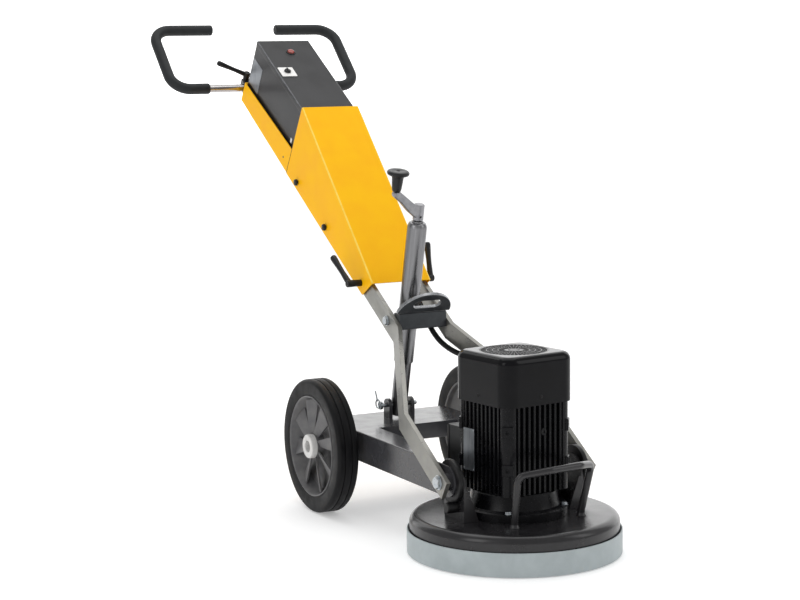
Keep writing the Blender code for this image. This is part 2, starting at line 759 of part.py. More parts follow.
def make_grinding_plate():
    made = ring("grinding_plate", PLATE_RADIUS, 0.020, PLATE_BOTTOM, PLATE_TOP, MOTOR)
    return finish(made, cast_iron())


def make_segment(index):
    """Diamond block: a short stretch of a ring under the plate."""
    middle = 360.0 / SEGMENT_COUNT * index
    half = 14.0
    outer = PLATE_RADIUS - 0.012
    outline = arc((0.0, 0.0), outer, middle - half, middle + half, 4)
    outline += arc((0.0, 0.0), outer - 0.050, middle + half, middle - half, 4)
    place = MOTOR @ Matrix.Translation((0.0, 0.0, SEGMENT_HEIGHT / 2))
    return finish(plate(f"grinding_segment_{index + 1}", [outline], SEGMENT_HEIGHT, place), cast_iron(),
            False)


# ---------------------------------------------------------------- fork
def make_arm(name, side):
    """Flat bar: straight at the pivot, folded inwards, straight again beside the column."""
    path = [(ARM_END, ARM_MID_LOWER), (FOLD_OUT, ARM_MID_LOWER), (FOLD_IN, ARM_MID_UPPER), (ARM_TOP,
            ARM_MID_UPPER)]
    outline = offset_path(path, ARM_THICK / 2) + offset_path(path, -ARM_THICK / 2)[::-1]
    outline = [(x, y * side) for x, y in outline]
    made = plate(name, [outline], ARM_WIDTH, COLUMN)
    made = bore_y(made, PIVOT, PIVOT_BOLT + FIT)
    made = bore_y(made, TRUNNION, TRUNNION_BOLT + FIT)
    return finish(bore_y(made, STUD, STUD_RADIUS + FIT), grey_steel())


def make_crossbar():
    half = ARM_IN_UPPER - GAP
    low = (-CROSS_FRONT - CROSS_DEPTH, -half, CROSS_BOTTOM)
    made = box("crossbar", low, (-CROSS_FRONT, half, CROSS_TOP), bevel=0.002)
    return finish(made, grey_steel(), False)


def make_lifting_plate():
    """D-shaped plate standing on the crossbar and leaning forwards, with a long hand slot."""
    rise = LIFT_HEIGHT / LIFT_HALF
    outline = [(x, y * rise) for x, y in arc((0.0, 0.0), LIFT_HALF, 0.0, 180.0, 16)]
    straight = LIFT_SLOT_HALF - LIFT_SLOT_RADIUS
    middle = LIFT_HEIGHT * 0.46
    slot = arc((straight, middle), LIFT_SLOT_RADIUS, -90.0, 90.0, 6)
    slot += arc((-straight, middle), LIFT_SLOT_RADIUS, 90.0, 270.0, 6)
    up = Vector((math.cos(LIFT_TILT), 0.0, math.sin(LIFT_TILT)))
    away = Vector((-math.sin(LIFT_TILT), 0.0, math.cos(LIFT_TILT)))
    reach = LIFT_THICK / 2
    foot = DISC + Vector((-CROSS_FRONT - reach * math.sin(LIFT_TILT), 0.0, CROSS_TOP + GAP))
    foot += up * (reach * math.cos(LIFT_TILT) / math.sin(LIFT_TILT))
    made = plate("lifting_plate", [outline, slot], LIFT_THICK, basis(foot, Vector((0, -1, 0)), up, away))
    return finish(made, grey_steel())


def make_trunnion_bolt():
    """Long bolt through both arms and the spindle's cross sleeve, hexagon head on the right."""
    across = basis(TRUNNION, Vector((0, 0, 1)), Vector((-1, 0, 0)), Vector((0, -1, 0)))
    head_low = ARM_OUT_UPPER + GAP
    made = rod("trunnion_bolt", TRUNNION_BOLT, -ARM_OUT_UPPER - 0.003, head_low + 0.003, across)
    head = rod("head", 0.0100, head_low, head_low + 0.0065, across, 6, CUTTERS)
    return finish(weld(made, head), zinc(), False)


def make_motor_cable():
    """Cable from the column's open foot, behind the spindle's sleeve, to the terminal box."""
    foot = on_column(STUD_Q, -0.040, 0.012)
    end = (gland_place(BOX_TOP) @ Vector((0.0, 0.0, 0.0225 + GAP)))
    mid = [(-0.500, 0.042, 0.464), (-0.466, 0.044, 0.430), (-0.444, 0.046, 0.405), (-0.410, 0.052, 0.381)]
    mid += [(-0.366, 0.064, 0.364), (-0.318, 0.076, 0.360), (-0.262, 0.072, 0.358), (-0.208, 0.050, 0.354)]
    mid += [(-0.158, 0.022, 0.342)]
    route = [foot] + [DISC + Vector(p) for p in mid]
    route += [end + Vector((-0.006, 0.002, 0.030)), end]
    made = tube("motor_cable", smooth_route(route, 4), 0.0062, Matrix.Identity(4), 2)
    return finish(made, rubber())


# ---------------------------------------------------------------- levelling spindle
def make_spindle_tube():
    """Outer tube with a turned-in top and the cross sleeve of its trunnion welded on in front."""
    neck = SCREW_RADIUS + 0.0010
    inner = SPINDLE_RADIUS - SPINDLE_WALL
    profile = [(neck, SPINDLE_HIGH + 0.005), (0.0125, SPINDLE_HIGH + 0.005), (0.0130, SPINDLE_HIGH)]
    profile += [(SPINDLE_RADIUS - 0.005, SPINDLE_HIGH), (SPINDLE_RADIUS, SPINDLE_HIGH - 0.005)]
    profile += [(SPINDLE_RADIUS, SPINDLE_LOW), (inner, SPINDLE_LOW), (inner, SPINDLE_HIGH - 0.010)]
    profile.append((neck, SPINDLE_HIGH - 0.010))
    made = turned("spindle_outer_tube", profile, SPINDLE_FRAME, 32, True)
    reach = ARM_IN_UPPER - GAP
    made = weld(made, rod("sleeve", SLEEVE_RADIUS, -reach, reach, along_y(TRUNNION), 24, CUTTERS))
    made = bore_y(made, TRUNNION, TRUNNION_BOLT + FIT)
    return finish(made, steel())


def make_spindle_inner():
    """Inner tube that slides in the outer one, cross-bored near its lower end, and its nut."""
    low = CLEVIS_W - INNER_TAIL
    inner = INNER_RADIUS - INNER_WALL
    made = ring("spindle_inner_tube", INNER_RADIUS, inner, low, INNER_TOP, SPINDLE_FRAME, 32)
    made = finish(bore_y(made, CLEVIS, CLEVIS_PIN + CLEVIS_PLAY), steel())
    nut = ring("spindle_nut", inner - GAP, SCREW_RADIUS + FIT, INNER_TOP - 0.026, INNER_TOP - 0.002,
            SPINDLE_FRAME, 24)
    return made, finish(nut, material("bronze", (0.50, 0.33, 0.12), 0.4, 1.0))


def make_crank():
    """Threaded spindle, and the crank arm on its top end with a hub and a tapering, rising arm."""
    hub_low = SPINDLE_HIGH + 0.005 + 0.0015
    hub_top = hub_low + 0.037
    pin = 0.0065
    profile = [(0.0, hub_top - 0.004), (pin, hub_top - 0.004), (pin, hub_low - 0.0005), (SCREW_RADIUS,
            hub_low - 0.0005)]
    profile += [(SCREW_RADIUS, SCREW_LOW), (0.0, SCREW_LOW)]
    screw = finish(turned("spindle_screw", profile, SPINDLE_FRAME, 24), steel())
    arm = rod("crank_arm", CRANK_HUB, hub_low, hub_top, SPINDLE_FRAME, 24)
    end_w = hub_low + 0.025 + CRANK_RISE
    side = [(0.0, hub_low + 0.006), (0.012, hub_low + 0.008), (CRANK_RADIUS + 0.008, end_w - 0.005)]
    side += [(CRANK_RADIUS + 0.008, end_w + 0.006), (CRANK_RADIUS - 0.006, end_w + 0.007), (0.0,
            hub_top - 0.001)]
    place = basis(SPINDLE, Vector((0, -1, 0)), SPIN_UP, -SPIN_FRONT)
    arm = weld(arm, plate("bar", [side], 0.016, place, CUTTERS))
    hole = rod("hole", pin + GAP, hub_low - 0.01, hub_top - 0.003, SPINDLE_FRAME, SMALL, CUTTERS)
    arm = finish(cut(arm, hole), zinc())
    stem = end_w + 0.008
    profile = [(0.0, stem + 0.046), (KNOB_RADIUS - 0.005, stem + 0.046), (KNOB_RADIUS, stem + 0.041)]
    profile += [(KNOB_RADIUS, stem + 0.032), (KNOB_RADIUS - 0.003, stem + 0.029), (0.0130, stem + 0.027)]
    profile += [(0.0100, stem), (0.0, stem)]
    knob_place = SPINDLE_FRAME @ Matrix.Translation((0.0, -CRANK_RADIUS, 0.0))
    return screw, arm, finish(turned("crank_knob", profile, knob_place, 24), black_plastic())


# ---------------------------------------------------------------- chassis and wheels
def make_chassis():
    """Folded and welded tray: rear cross member, two side arms to the pivot, ears and bosses."""
    half = CHASSIS_HALF
    inner = half - SIDE_SHELF
    top = [(-CHASSIS_REAR, -half), (-CHASSIS_SHELF_END, -half), (-CHASSIS_SHELF_END, -half + 0.022)]
    top += [(-CHASSIS_SHELF_END - 0.10, -inner), (-CHASSIS_CUT, -inner), (-CHASSIS_CUT, inner)]
    top += [(-CHASSIS_SHELF_END - 0.10, inner), (-CHASSIS_SHELF_END, half - 0.022), (-CHASSIS_SHELF_END,
            half)]
    top.append((-CHASSIS_REAR, half))
    middle = DISC + Vector((0.0, 0.0, CHASSIS_TOP - CHASSIS_SHEET / 2))
    made = plate("chassis_frame", [top], CHASSIS_SHEET, Matrix.Translation(middle))
    nose = (CHASSIS_TOP - CHASSIS_BOTTOM) / 2
    flange = [(-CHASSIS_REAR, CHASSIS_BOTTOM)]
    flange += arc((0.0, CHASSIS_BOTTOM + nose), nose, -90.0, 90.0, 10)
    flange.append((-CHASSIS_REAR, CHASSIS_TOP))
    for side in (-1.0, 1.0):
        where = DISC + Vector((0.0, side * (half - CHASSIS_SHEET / 2), 0.0))
        upright = basis(where, Vector((1, 0, 0)), Vector((0, 0, 1)), Vector((0, -1, 0)))
        made = weld(made, plate("flange", [flange], CHASSIS_SHEET, upright, CUTTERS))
        across = basis(PIVOT, Vector((0, 0, 1)), Vector((side, 0, 0)), Vector((0, side, 0)))
        made = weld(made, rod("boss", 0.019, half - 0.001, BOSS_OUT, across, 24, CUTTERS))
        hub = basis(AXLE, Vector((0, 0, 1)), Vector((side, 0, 0)), Vector((0, side, 0)))
        made = weld(made, rod("axle_boss", 0.020, half - 0.03, WHEEL_OUT - WHEEL_WIDTH - 0.002, hub, 24,
                CUTTERS))
        ear_low = CHASSIS_TOP - 0.002
        ear = [(-EAR_RADIUS, ear_low), (EAR_RADIUS, ear_low)]
        ear += arc((0.0, CLEVIS.z), EAR_RADIUS, 0.0, 180.0, 8)
        ear_place = Vector((CLEVIS.x, side * (EAR_IN + EAR_THICK / 2), 0.0))
        upright = basis(ear_place, Vector((1, 0, 0)), Vector((0, 0, 1)), Vector((0, -1, 0)))
        made = weld(made, plate("ear", [ear], EAR_THICK, upright, CUTTERS))
    sheet = CHASSIS_SHEET
    inside = half - sheet / 2
    rear = box("rear", (-CHASSIS_REAR, -inside, CHASSIS_BOTTOM), (-CHASSIS_REAR + sheet, inside,
            CHASSIS_TOP - 0.001),
               collection=CUTTERS)
    made = weld(made, rear)
    lip = box("lip", (-CHASSIS_CUT - sheet, -inside, CHASSIS_TOP - REAR_LIP), (-CHASSIS_CUT, inside,
            CHASSIS_TOP - 0.001),
              collection=CUTTERS)
    made = weld(made, lip)
    made = bore_y(made, PIVOT, PIVOT_BOLT + FIT)
    made = bore_y(made, CLEVIS, CLEVIS_PIN + FIT)
    made = bore_y(made, AXLE, AXLE_RADIUS + FIT, steps=24)
    return finish(made, charcoal())


def make_axle_and_pin():
    reach = WHEEL_OUT - 0.006
    axle = finish(rod("wheel_axle", AXLE_RADIUS, -reach, reach, along_y(AXLE), 24), steel())
    pin = rod("clevis_pin", CLEVIS_PIN, -0.046, 0.044, along_y(CLEVIS), SMALL)
    pin = weld(pin, rod("pin_head", 0.0095, -0.051, -0.045, along_y(CLEVIS), SMALL, CUTTERS))
    return axle, finish(pin, zinc())


def make_wheel(word, side):
    """Plastic rim with a hub and a dished web, and its solid rubber tyre."""
    across = basis(AXLE, Vector((0, 0, 1)), Vector((side, 0, 0)), Vector((0, side, 0)))
    low = WHEEL_OUT - WHEEL_WIDTH
    high = WHEEL_OUT
    hole = AXLE_RADIUS + FIT
    lip = 0.012
    web_out = high - 0.014
    web_in = low + 0.016
    profile = [(HUB_RADIUS, high + HUB_STAND), (HUB_RADIUS + 0.004, web_out), (RIM_RADIUS - lip, web_out)]
    profile += [(RIM_RADIUS - lip, high - 0.001), (RIM_RADIUS, high - 0.001), (RIM_RADIUS, low + 0.001)]
    profile += [(RIM_RADIUS - lip, low + 0.001), (RIM_RADIUS - lip, web_in), (HUB_RADIUS + 0.004, web_in)]
    profile += [(HUB_RADIUS, low + 0.001), (hole, low + 0.001), (hole, high + HUB_STAND)]
    rim = finish(turned("wheel_rim_" + word, profile, across, 32, True), grey_plastic())
    inner = RIM_RADIUS + GAP
    edge = 0.008
    profile = [(inner, high), (WHEEL_RADIUS - edge, high), (WHEEL_RADIUS, high - edge)]
    profile += [(WHEEL_RADIUS, low + edge), (WHEEL_RADIUS - edge, low), (inner, low)]
    flat_down = across @ Matrix.Rotation(math.pi / TYRE_STEPS, 4, 'Z')
    tyre = finish(turned("tyre_" + word, profile, flat_down, TYRE_STEPS, True), rubber())
    return rim, tyre


# ---------------------------------------------------------------- column
def side_shape(name, outline, half, collection=None):
    """Prism across the column from an outline of (along, out) points."""
    place = COLUMN @ basis(Vector((0, 0, 0)), Vector((1, 0, 0)), Vector((0, 0, 1)), Vector((0, -1, 0)))
    return plate(name, [outline], 2 * half, place, collection)


def make_tray():
    """Channel along the column's back: deep above the seam, a narrower inner flange below it."""
    back = COLUMN_BACK
    floor = back + COLUMN_SHEET
    start = SEAM_Q + 2 * GAP
    outer = [(start, back), (COLUMN_END, back), (COLUMN_END, back + TRAY_END_DEPTH), (start,
            back + TRAY_SEAM_DEPTH)]
    made = side_shape("column_tray", outer, COLUMN_HALF)
    room = [(start - 0.1, floor), (COLUMN_END - COLUMN_SHEET, floor), (COLUMN_END - COLUMN_SHEET, 0.2)]
    room.append((start - 0.1, 0.2))
    made = cut(made, side_shape("room", room, COLUMN_HALF - COLUMN_SHEET, CUTTERS))
    inset = COLUMN_HALF - COLUMN_SHEET - GAP
    lower = [(EAR_Q, back), (start + 0.001, back), (start + 0.001, TRAY_FLANGE_H), (EAR_Q - 0.018,
            TRAY_FLANGE_H)]
    inner = side_shape("inner", lower, inset, CUTTERS)
    room = [(EAR_Q - 0.1, floor), (start + 0.1, floor), (start + 0.1, 0.2), (EAR_Q - 0.1, 0.2)]
    inner = cut(inner, side_shape("room", room, inset - COLUMN_SHEET, CUTTERS))
    foot = [(EAR_Q - 0.1, back - 0.01), (FLOOR_START_Q, back - 0.01), (FLOOR_START_Q, 0.1), (EAR_Q - 0.1,
            0.1)]
    inner = cut(inner, side_shape("foot", foot, inset - COLUMN_SHEET, CUTTERS))
    made = weld(made, inner)
    made = bore_y(made, STUD, STUD_RADIUS + FIT)
    made = bore_y(made, on_column(SEAM_Q + 0.035, 0.0, 0.003), 0.003, steps=12)
    return finish(made, yellow())


def make_cover():
    """Tapering cover of one folded sheet: a front face and two sides, open at the back and ends."""
    outline = [(SEAM_Q, COLUMN_BACK), (SEAM_Q, COVER_SEAM_H), (COVER_FOOT_Q, COVER_FOOT_H), (EAR_Q,
            COLUMN_BACK)]
    made = side_shape("column_cover", outline, COLUMN_HALF)
    run = Vector((COVER_FOOT_Q - SEAM_Q, COVER_FOOT_H - COVER_SEAM_H))
    beyond = 0.2
    slope = run.y / run.x
    drop = COLUMN_SHEET * math.hypot(1.0, slope)
    top = COVER_SEAM_H - drop + slope * beyond
    foot = COVER_FOOT_H - drop - slope * beyond
    room = [(SEAM_Q + beyond, COLUMN_BACK - 0.1), (SEAM_Q + beyond, top), (COVER_FOOT_Q - beyond, foot)]
    room.append((COVER_FOOT_Q - beyond, COLUMN_BACK - 0.1))
    made = cut(made, side_shape("room", room, COLUMN_HALF - COLUMN_SHEET, CUTTERS))
    return finish(bore_y(made, STUD, STUD_RADIUS + FIT), yellow(), False)


def make_control_box():
    """Sheet box standing in the tray, open upwards, its lid, and the contactor inside it."""
    low_q = SEAM_Q + 0.0035
    high_q = COLUMN_END - COLUMN_SHEET - GAP
    low_h = COLUMN_BACK + COLUMN_SHEET + GAP
    high_h = LID_TOP_H - LID_LIP
    made = box("control_box", (low_q, -BOX_HALF, low_h), (high_q, BOX_HALF, high_h), COLUMN)
    wall = BOX_WALL
    room = box("room", (low_q + wall, -BOX_HALF + wall, low_h + wall), (high_q - wall, BOX_HALF - wall,
            high_h + 0.05),
               COLUMN, collection=CUTTERS)
    made = finish(cut(made, room), charcoal(), False)
    under = low_h + wall + GAP
    contactor = box("contactor", (1.290, -0.024, under), (1.372, 0.024, under + 0.075), COLUMN, 0.002)
    lid = box("control_box_lid", (low_q, -LID_HALF, high_h + GAP), (LID_END_Q, LID_HALF, LID_TOP_H),
            COLUMN, 0.002)
    room = box("room", (low_q + wall, -LID_HALF + wall, high_h - 0.05), (LID_END_Q - wall,
            LID_HALF - wall, LID_TOP_H - wall),
               COLUMN, collection=CUTTERS)
    lid = cut(lid, room)
    for along, right, radius in ((BUTTON_Q, 0.0, BUTTON_RADIUS), (SWITCH_Q, SWITCH_Y, 0.004)):
        place = COLUMN @ Matrix.Translation((along, right, LID_TOP_H))
        lid = cut(lid, rod("hole", radius + FIT, -0.02, 0.02, place, SMALL, CUTTERS))
    return made, finish(lid, charcoal(), False), finish(contactor, grey_plastic(), False)


def make_switch_and_button():
    place = COLUMN @ Matrix.Translation((SWITCH_Q, SWITCH_Y, LID_TOP_H))
    profile = [(0.0, SWITCH_HIGH), (SWITCH_RADIUS - 0.001, SWITCH_HIGH), (SWITCH_RADIUS, SWITCH_HIGH - 0.001)]
    profile.append((SWITCH_RADIUS, 0.004))
    profile += [(0.004, 0.004), (0.004, -0.012), (0.0, -0.012)]
    knob = finish(turned("switch_knob", profile, place, SMALL), black_plastic())
    place = COLUMN @ Matrix.Translation((BUTTON_Q, 0.0, LID_TOP_H))
    profile = [(0.0, 0.005), (BUTTON_RADIUS - 0.002, 0.005), (BUTTON_RADIUS, 0.003), (BUTTON_RADIUS,
            -0.010), (0.0, -0.010)]
    return knob, finish(turned("start_button", profile, place, 24), red_plastic())


def make_bar_clamp():
    """Block behind the tray's end wall that the handlebar turns in, bored for its lever's stud."""
    low = COLUMN_END + GAP
    made = box("bar_clamp", (low, -CLAMP_HALF, CLAMP_LOW), (CLAMP_END, CLAMP_HALF, CLAMP_HIGH), COLUMN, 0.002)
    made = bore_y(made, on_column(BAR_Q, 0.0, BAR_H), BAR_RADIUS + FIT, steps=24)
    place = COLUMN @ Matrix.Translation((BAR_LEVER_Q, BAR_LEVER_Y, CLAMP_HIGH))
    hole = rod("hole", BAR_STUD + FIT, -0.018, 0.010, place, SMALL, CUTTERS)
    return finish(cut(made, hole), charcoal(), False)


def make_lever(name, axis, stud_in, hub_in, hub_top, stud_radius, run):
    """Clamp lever on an axis placement: threaded stud, hub, and a round arm along run."""
    made = rod(name, stud_radius, stud_in, hub_in + 0.004, axis, SMALL)
    profile = [(0.0, hub_top), (LEVER_HUB - 0.002, hub_top), (LEVER_HUB, hub_top - 0.002)]
    profile += [(LEVER_HUB - 0.001, hub_in), (0.0, hub_in)]
    made = weld(made, turned("hub", profile, axis, SMALL, collection=CUTTERS))
    start = axis @ Vector((0.0, 0.0, hub_top - 0.007))
    run = run.normalized()
    across = run.orthogonal().normalized()
    length = LEVER_LENGTH
    profile = [(0.0, length), (0.0045, length), (0.0060, length - 0.002), (0.0058, length - 0.012)]
    profile += [(0.0046, length * 0.5), (0.0065, 0.0), (0.0, 0.0)]
    made = weld(made, turned("arm", profile, basis(start, across, run.cross(across), run), 12,
            collection=CUTTERS))
    return finish(made, black_plastic())


def make_column_lever(name, side, lean):
    """Lever beside the column's foot; lean turns its arm out of the column's line."""
    axis = basis(STUD, Vector((0, 0, side)), Vector((-1, 0, 0)), Vector((0, -side, 0)))
    along = UP_LINE * math.cos(lean) + OUT_LINE * math.sin(lean)
    run = along + Vector((0.0, -side * 0.12, 0.0))
    hub_in = COLUMN_HALF + GAP
    return make_lever(name, axis, ARM_IN_UPPER + 0.001, hub_in, hub_in + 0.036, STUD_RADIUS, run)


def make_levers():
    right = make_column_lever("column_lever_right", 1.0, LEAN_RIGHT)
    left = make_column_lever("column_lever_left", -1.0, LEAN_LEFT)
    axis = COLUMN @ Matrix.Translation((BAR_LEVER_Q, BAR_LEVER_Y, 0.0))
    run = Vector((0.0, -math.cos(BAR_LEVER_RISE), 0.0)) + OUT_LINE * math.sin(BAR_LEVER_RISE)
    run += UP_LINE * BAR_LEVER_BACK
    hub_in = CLAMP_HIGH + GAP
    top = make_lever("bar_lever", axis, CLAMP_HIGH - 0.014, hub_in, hub_in + 0.022, BAR_STUD, run)
    return right, left, top


# ---------------------------------------------------------------- handlebar
def loop_path(side):
    """Half of the bent bar, from the middle of the machine to the inner end of its top stretch."""
    rise = Vector((-math.cos(LOOP_ANGLE), 0.0, math.sin(LOOP_ANGLE))) * LOOP_HEIGHT
    out = Vector((0.0, side * BAR_HALF, 0.0))
    end = Vector((0.0, side * GRIP_END, 0.0))
    return [Vector((0.0, 0.0, 0.0)), out, out + rise, end + rise]


def make_handlebar():
    """One bent steel tube and a foam grip round each of its loops."""
    place = Matrix.Translation(on_column(BAR_Q, 0.0, BAR_H))
    right = loop_path(-1.0)
    left = loop_path(1.0)
    whole = round_corners(right[:0:-1] + left[1:], LOOP_BEND, 5)
    bar = finish(tube("handlebar_tube", whole, BAR_RADIUS, place, 3), steel())
    room = (BAR_RADIUS + GAP) / math.cos(math.pi / 10)
    grips = []
    for word, side, half in (("right", -1.0, right), ("left", 1.0, left)):
        start = Vector((0.0, side * GRIP_START, 0.0))
        run = (half[3] - half[2]).normalized()
        path = round_corners([start, half[1], half[2], half[3] + run * 0.002], LOOP_BEND, 5)
        grip = tube("grip_" + word, path, GRIP_RADIUS, place, 3)
        core = [start + Vector((0.0, -side * 0.01, 0.0)), half[1], half[2], half[3] + run * 0.0005]
        core = tube("core", round_corners(core, LOOP_BEND, 5), room, place, 3, CUTTERS)
        grips.append(finish(cut(grip, core), rubber()))
    return [bar] + grips


# ---------------------------------------------------------------- assembly
def build():
    make_hood()
    make_skirt()
    make_drive_end_shield()
    make_motor_housing()
    make_top_end_shield()
    make_fan_cowl()
    make_terminal_box()
    make_gland()
    make_front_handle()
    for word, side in (("right", -1.0), ("left", 1.0)):
        make_bracket("pivot_bracket_" + word, side)
        make_pivot_side(word, side)
    make_bearing("lower_bearing", LOWER_BEARING_Z)
    make_bearing("upper_bearing", UPPER_BEARING_Z)
    shaft, core, _ = make_rotor()
    turning = [shaft, core, make_fan(), make_drive_hub(), make_grinding_plate()]
    turning += [make_segment(i) for i in range(SEGMENT_COUNT)]
    hinge_point("disc_axis", DISC, turning)

    fork = [make_arm("fork_arm_right", 1.0), make_arm("fork_arm_left", -1.0), make_crossbar()]
    fork += [make_lifting_plate(), make_trunnion_bolt(), make_motor_cable()]
    hinge_point("fork_pivot", PIVOT, fork)

    screw, crank, knob = make_crank()
    inner, nut = make_spindle_inner()
    hinge_point("trunnion_axis", TRUNNION, [make_spindle_tube()])
    hinge_point("spindle_axis", SPINDLE, [screw, crank, inner, nut])
    hinge_point("crank_knob_axis", knob.matrix_world.translation, [knob])

    chassis = [make_chassis(), *make_axle_and_pin()]
    hinge_point("chassis_pivot", PIVOT, chassis)
    for word, side in (("right", -1.0), ("left", 1.0)):
        hinge_point("wheel_axis_" + word, AXLE, make_wheel(word, side))

    column = [make_tray(), make_cover(), *make_control_box(), make_bar_clamp()]
    hinge_point("column_axis", STUD, column)
    right, left, top = make_levers()
    hinge_point("column_lever_axis_right", STUD, [right])
    hinge_point("column_lever_axis_left", STUD, [left])
    hinge_point("bar_lever_axis", on_column(BAR_LEVER_Q, BAR_LEVER_Y, 0.0), [top])
    make_switch_and_button()
    hinge_point("handlebar_axis", on_column(BAR_Q, 0.0, BAR_H), make_handlebar())


build()
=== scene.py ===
# %% [markdown]
# # A walk-behind floor grinder
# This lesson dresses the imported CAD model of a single-disc floor grinder in Blender. The CAD gives
# each piece its place and size. Here each piece gets its finished form and surface, and rides on
# the body that carries it. +X is forwards, +Y is the operator's left, +Z is up, in metres.

import math

import bpy
from mathutils import Matrix, Vector


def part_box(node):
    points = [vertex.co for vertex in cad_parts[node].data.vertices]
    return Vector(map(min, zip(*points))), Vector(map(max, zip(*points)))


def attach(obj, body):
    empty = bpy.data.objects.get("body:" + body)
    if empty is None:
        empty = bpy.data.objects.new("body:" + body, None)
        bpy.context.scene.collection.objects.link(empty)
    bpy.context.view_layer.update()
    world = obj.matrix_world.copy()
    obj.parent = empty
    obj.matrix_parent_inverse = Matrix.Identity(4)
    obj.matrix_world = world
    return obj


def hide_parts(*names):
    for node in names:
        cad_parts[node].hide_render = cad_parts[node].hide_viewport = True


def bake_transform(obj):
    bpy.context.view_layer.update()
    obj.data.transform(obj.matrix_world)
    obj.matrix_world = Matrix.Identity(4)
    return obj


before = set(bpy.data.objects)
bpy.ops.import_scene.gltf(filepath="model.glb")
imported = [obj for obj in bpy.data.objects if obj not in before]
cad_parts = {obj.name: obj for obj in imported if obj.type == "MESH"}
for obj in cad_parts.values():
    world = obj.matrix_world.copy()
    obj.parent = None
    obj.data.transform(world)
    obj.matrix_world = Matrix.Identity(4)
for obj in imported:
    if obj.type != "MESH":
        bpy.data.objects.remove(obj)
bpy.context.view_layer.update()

# %% [markdown]
# The camera stands in front of the machine, to the operator's right and a little above the motor,
# with a long lens. A long lens keeps upright edges nearly parallel, as a product picture does.

# %% Camera
forward = Vector((-0.88313, 0.45099, -0.12923)).normalized()
level = forward.cross(Vector((0.0, 0.0, 1.0))).normalized()
upright = level.cross(forward)
ROLL = math.radians(-0.59)
side = level * math.cos(ROLL) + upright * math.sin(ROLL)
top = upright * math.cos(ROLL) - level * math.sin(ROLL)
lens = bpy.data.cameras.new("camera")
lens.lens = 89.73
lens.sensor_width = 36.0
camera = bpy.data.objects.new("camera", lens)
bpy.context.scene.collection.objects.link(camera)
camera.location = (4.1154, -2.0579, 1.0599)
camera.rotation_euler = Matrix((side, top, -forward)).transposed().to_euler()
bpy.context.scene.camera = camera
print("camera", tuple(round(v, 3) for v in camera.location))

# %% [markdown]
# A node-based finish is easiest to read when every node is added the same way. One function turns
# the sRGB hex values that people pick colours in into the linear values that Blender shades with,
# and one adds a node with its settings and links.

# %% Node helpers
def linear(code):
    """sRGB hex to linear red, green, blue, alpha."""
    parts = [int(code[i:i + 2], 16) / 255 for i in (1, 3, 5)]
    return tuple(p / 12.92 if p <= 0.04045 else ((p + 0.055) / 1.055) ** 2.4 for p in parts) + (1.0,)


def add_node(tree, kind, settings=None, links=None):
    """A node with its settings (sockets or properties) and its incoming links."""
    made = tree.nodes.new(kind)
    for name, value in (settings or {}).items():
        if name in made.inputs:
            made.inputs[name].default_value = value
        else:
            setattr(made, name, value)
    for name, socket in (links or {}).items():
        tree.links.new(socket, made.inputs[name])
    return made


def surface(name, hexes, patch_mm, rough, grain_mm, depth_mm, metallic=0.0, stretch=(1, 1, 1), turn=0.0,
            **extra):
    """A finish: colour that drifts between two hexes in patches, drifting roughness, and a fine grain.

    Sizes are in millimetres. stretch draws the pattern out along the axes, after a turn about Y.
    extra sets the shader's own sockets.
    """
    made = bpy.data.materials.new(name)
    made.use_nodes = True
    tree = made.node_tree
    shader = tree.nodes["Principled BSDF"]
    shader.inputs["Metallic"].default_value = metallic
    for socket, value in extra.items():
        shader.inputs[socket.replace("_", " ")].default_value = value
    where = add_node(tree, "ShaderNodeTexCoord")
    turned_grid = add_node(tree, "ShaderNodeMapping", {"Rotation": (0.0, turn, 0.0)},
                           {"Vector": where.outputs["Object"]})
    grid = add_node(tree, "ShaderNodeMapping", {"Scale": stretch}, {"Vector": turned_grid.outputs["Vector"]})
    patches = add_node(tree, "ShaderNodeTexNoise", {"Scale": 1000.0 / patch_mm, "Detail": 4.0},
                       {"Vector": grid.outputs["Vector"]})
    colours = add_node(tree, "ShaderNodeValToRGB", {}, {"Fac": patches.outputs["Fac"]})
    for element, place, code in zip(colours.color_ramp.elements, (0.32, 0.68), hexes):
        element.position = place
        element.color = linear(code)
    gloss = add_node(tree, "ShaderNodeMapRange",
                     {"From Min": 0.3, "From Max": 0.7, "To Min": rough[0], "To Max": rough[1]},
                     {"Value": patches.outputs["Fac"]})
    grain = add_node(tree, "ShaderNodeTexNoise", {"Scale": 1000.0 / grain_mm, "Detail": 2.0},
                     {"Vector": grid.outputs["Vector"]})
    bump = add_node(tree, "ShaderNodeBump", {"Distance": depth_mm / 1000.0, "Strength": 1.0},
                    {"Height": grain.outputs["Fac"]})
    tree.links.new(colours.outputs["Color"], shader.inputs["Base Color"])
    tree.links.new(gloss.outputs["Result"], shader.inputs["Roughness"])
    tree.links.new(bump.outputs["Normal"], shader.inputs["Normal"])
    return made


print("half bright in sRGB is", round(linear("#808080")[0], 3), "in linear light")

# %% [markdown]
# **Paints.** The covers, the chassis and the control box are sheet steel with powder coat, which
# flows into a faint orange peel about 2 mm across. The motor and its fan cowl have a glossy black
# enamel over castings and pressings. The fork arms wear a metallic grey paint with a fine sparkle.

# %% Paint finishes
# An even, faintly pebbled yellow that hardly mirrors.
yellow_coat = surface("yellow powder coat", ("#FDB802", "#FFC004"), 60, (0.44, 0.52), 2.2, 0.010,
                      Specular_IOR_Level=0.1)
# A paler yellow painted on the folds: a painted highlight where the rounded fold catches the light.
fold_highlight_coat = surface("yellow powder coat with a painted fold highlight", ("#FFD246", "#FFDC60"), 30, (0.24, 0.32), 2.2, 0.006,
                    Specular_IOR_Level=0.4)
# A smooth dark grey with a soft sheen along its edges.
charcoal_coat = surface("charcoal powder coat", ("#333336", "#3C3C3F"), 40, (0.18, 0.26), 1.2, 0.008, IOR=1.5)
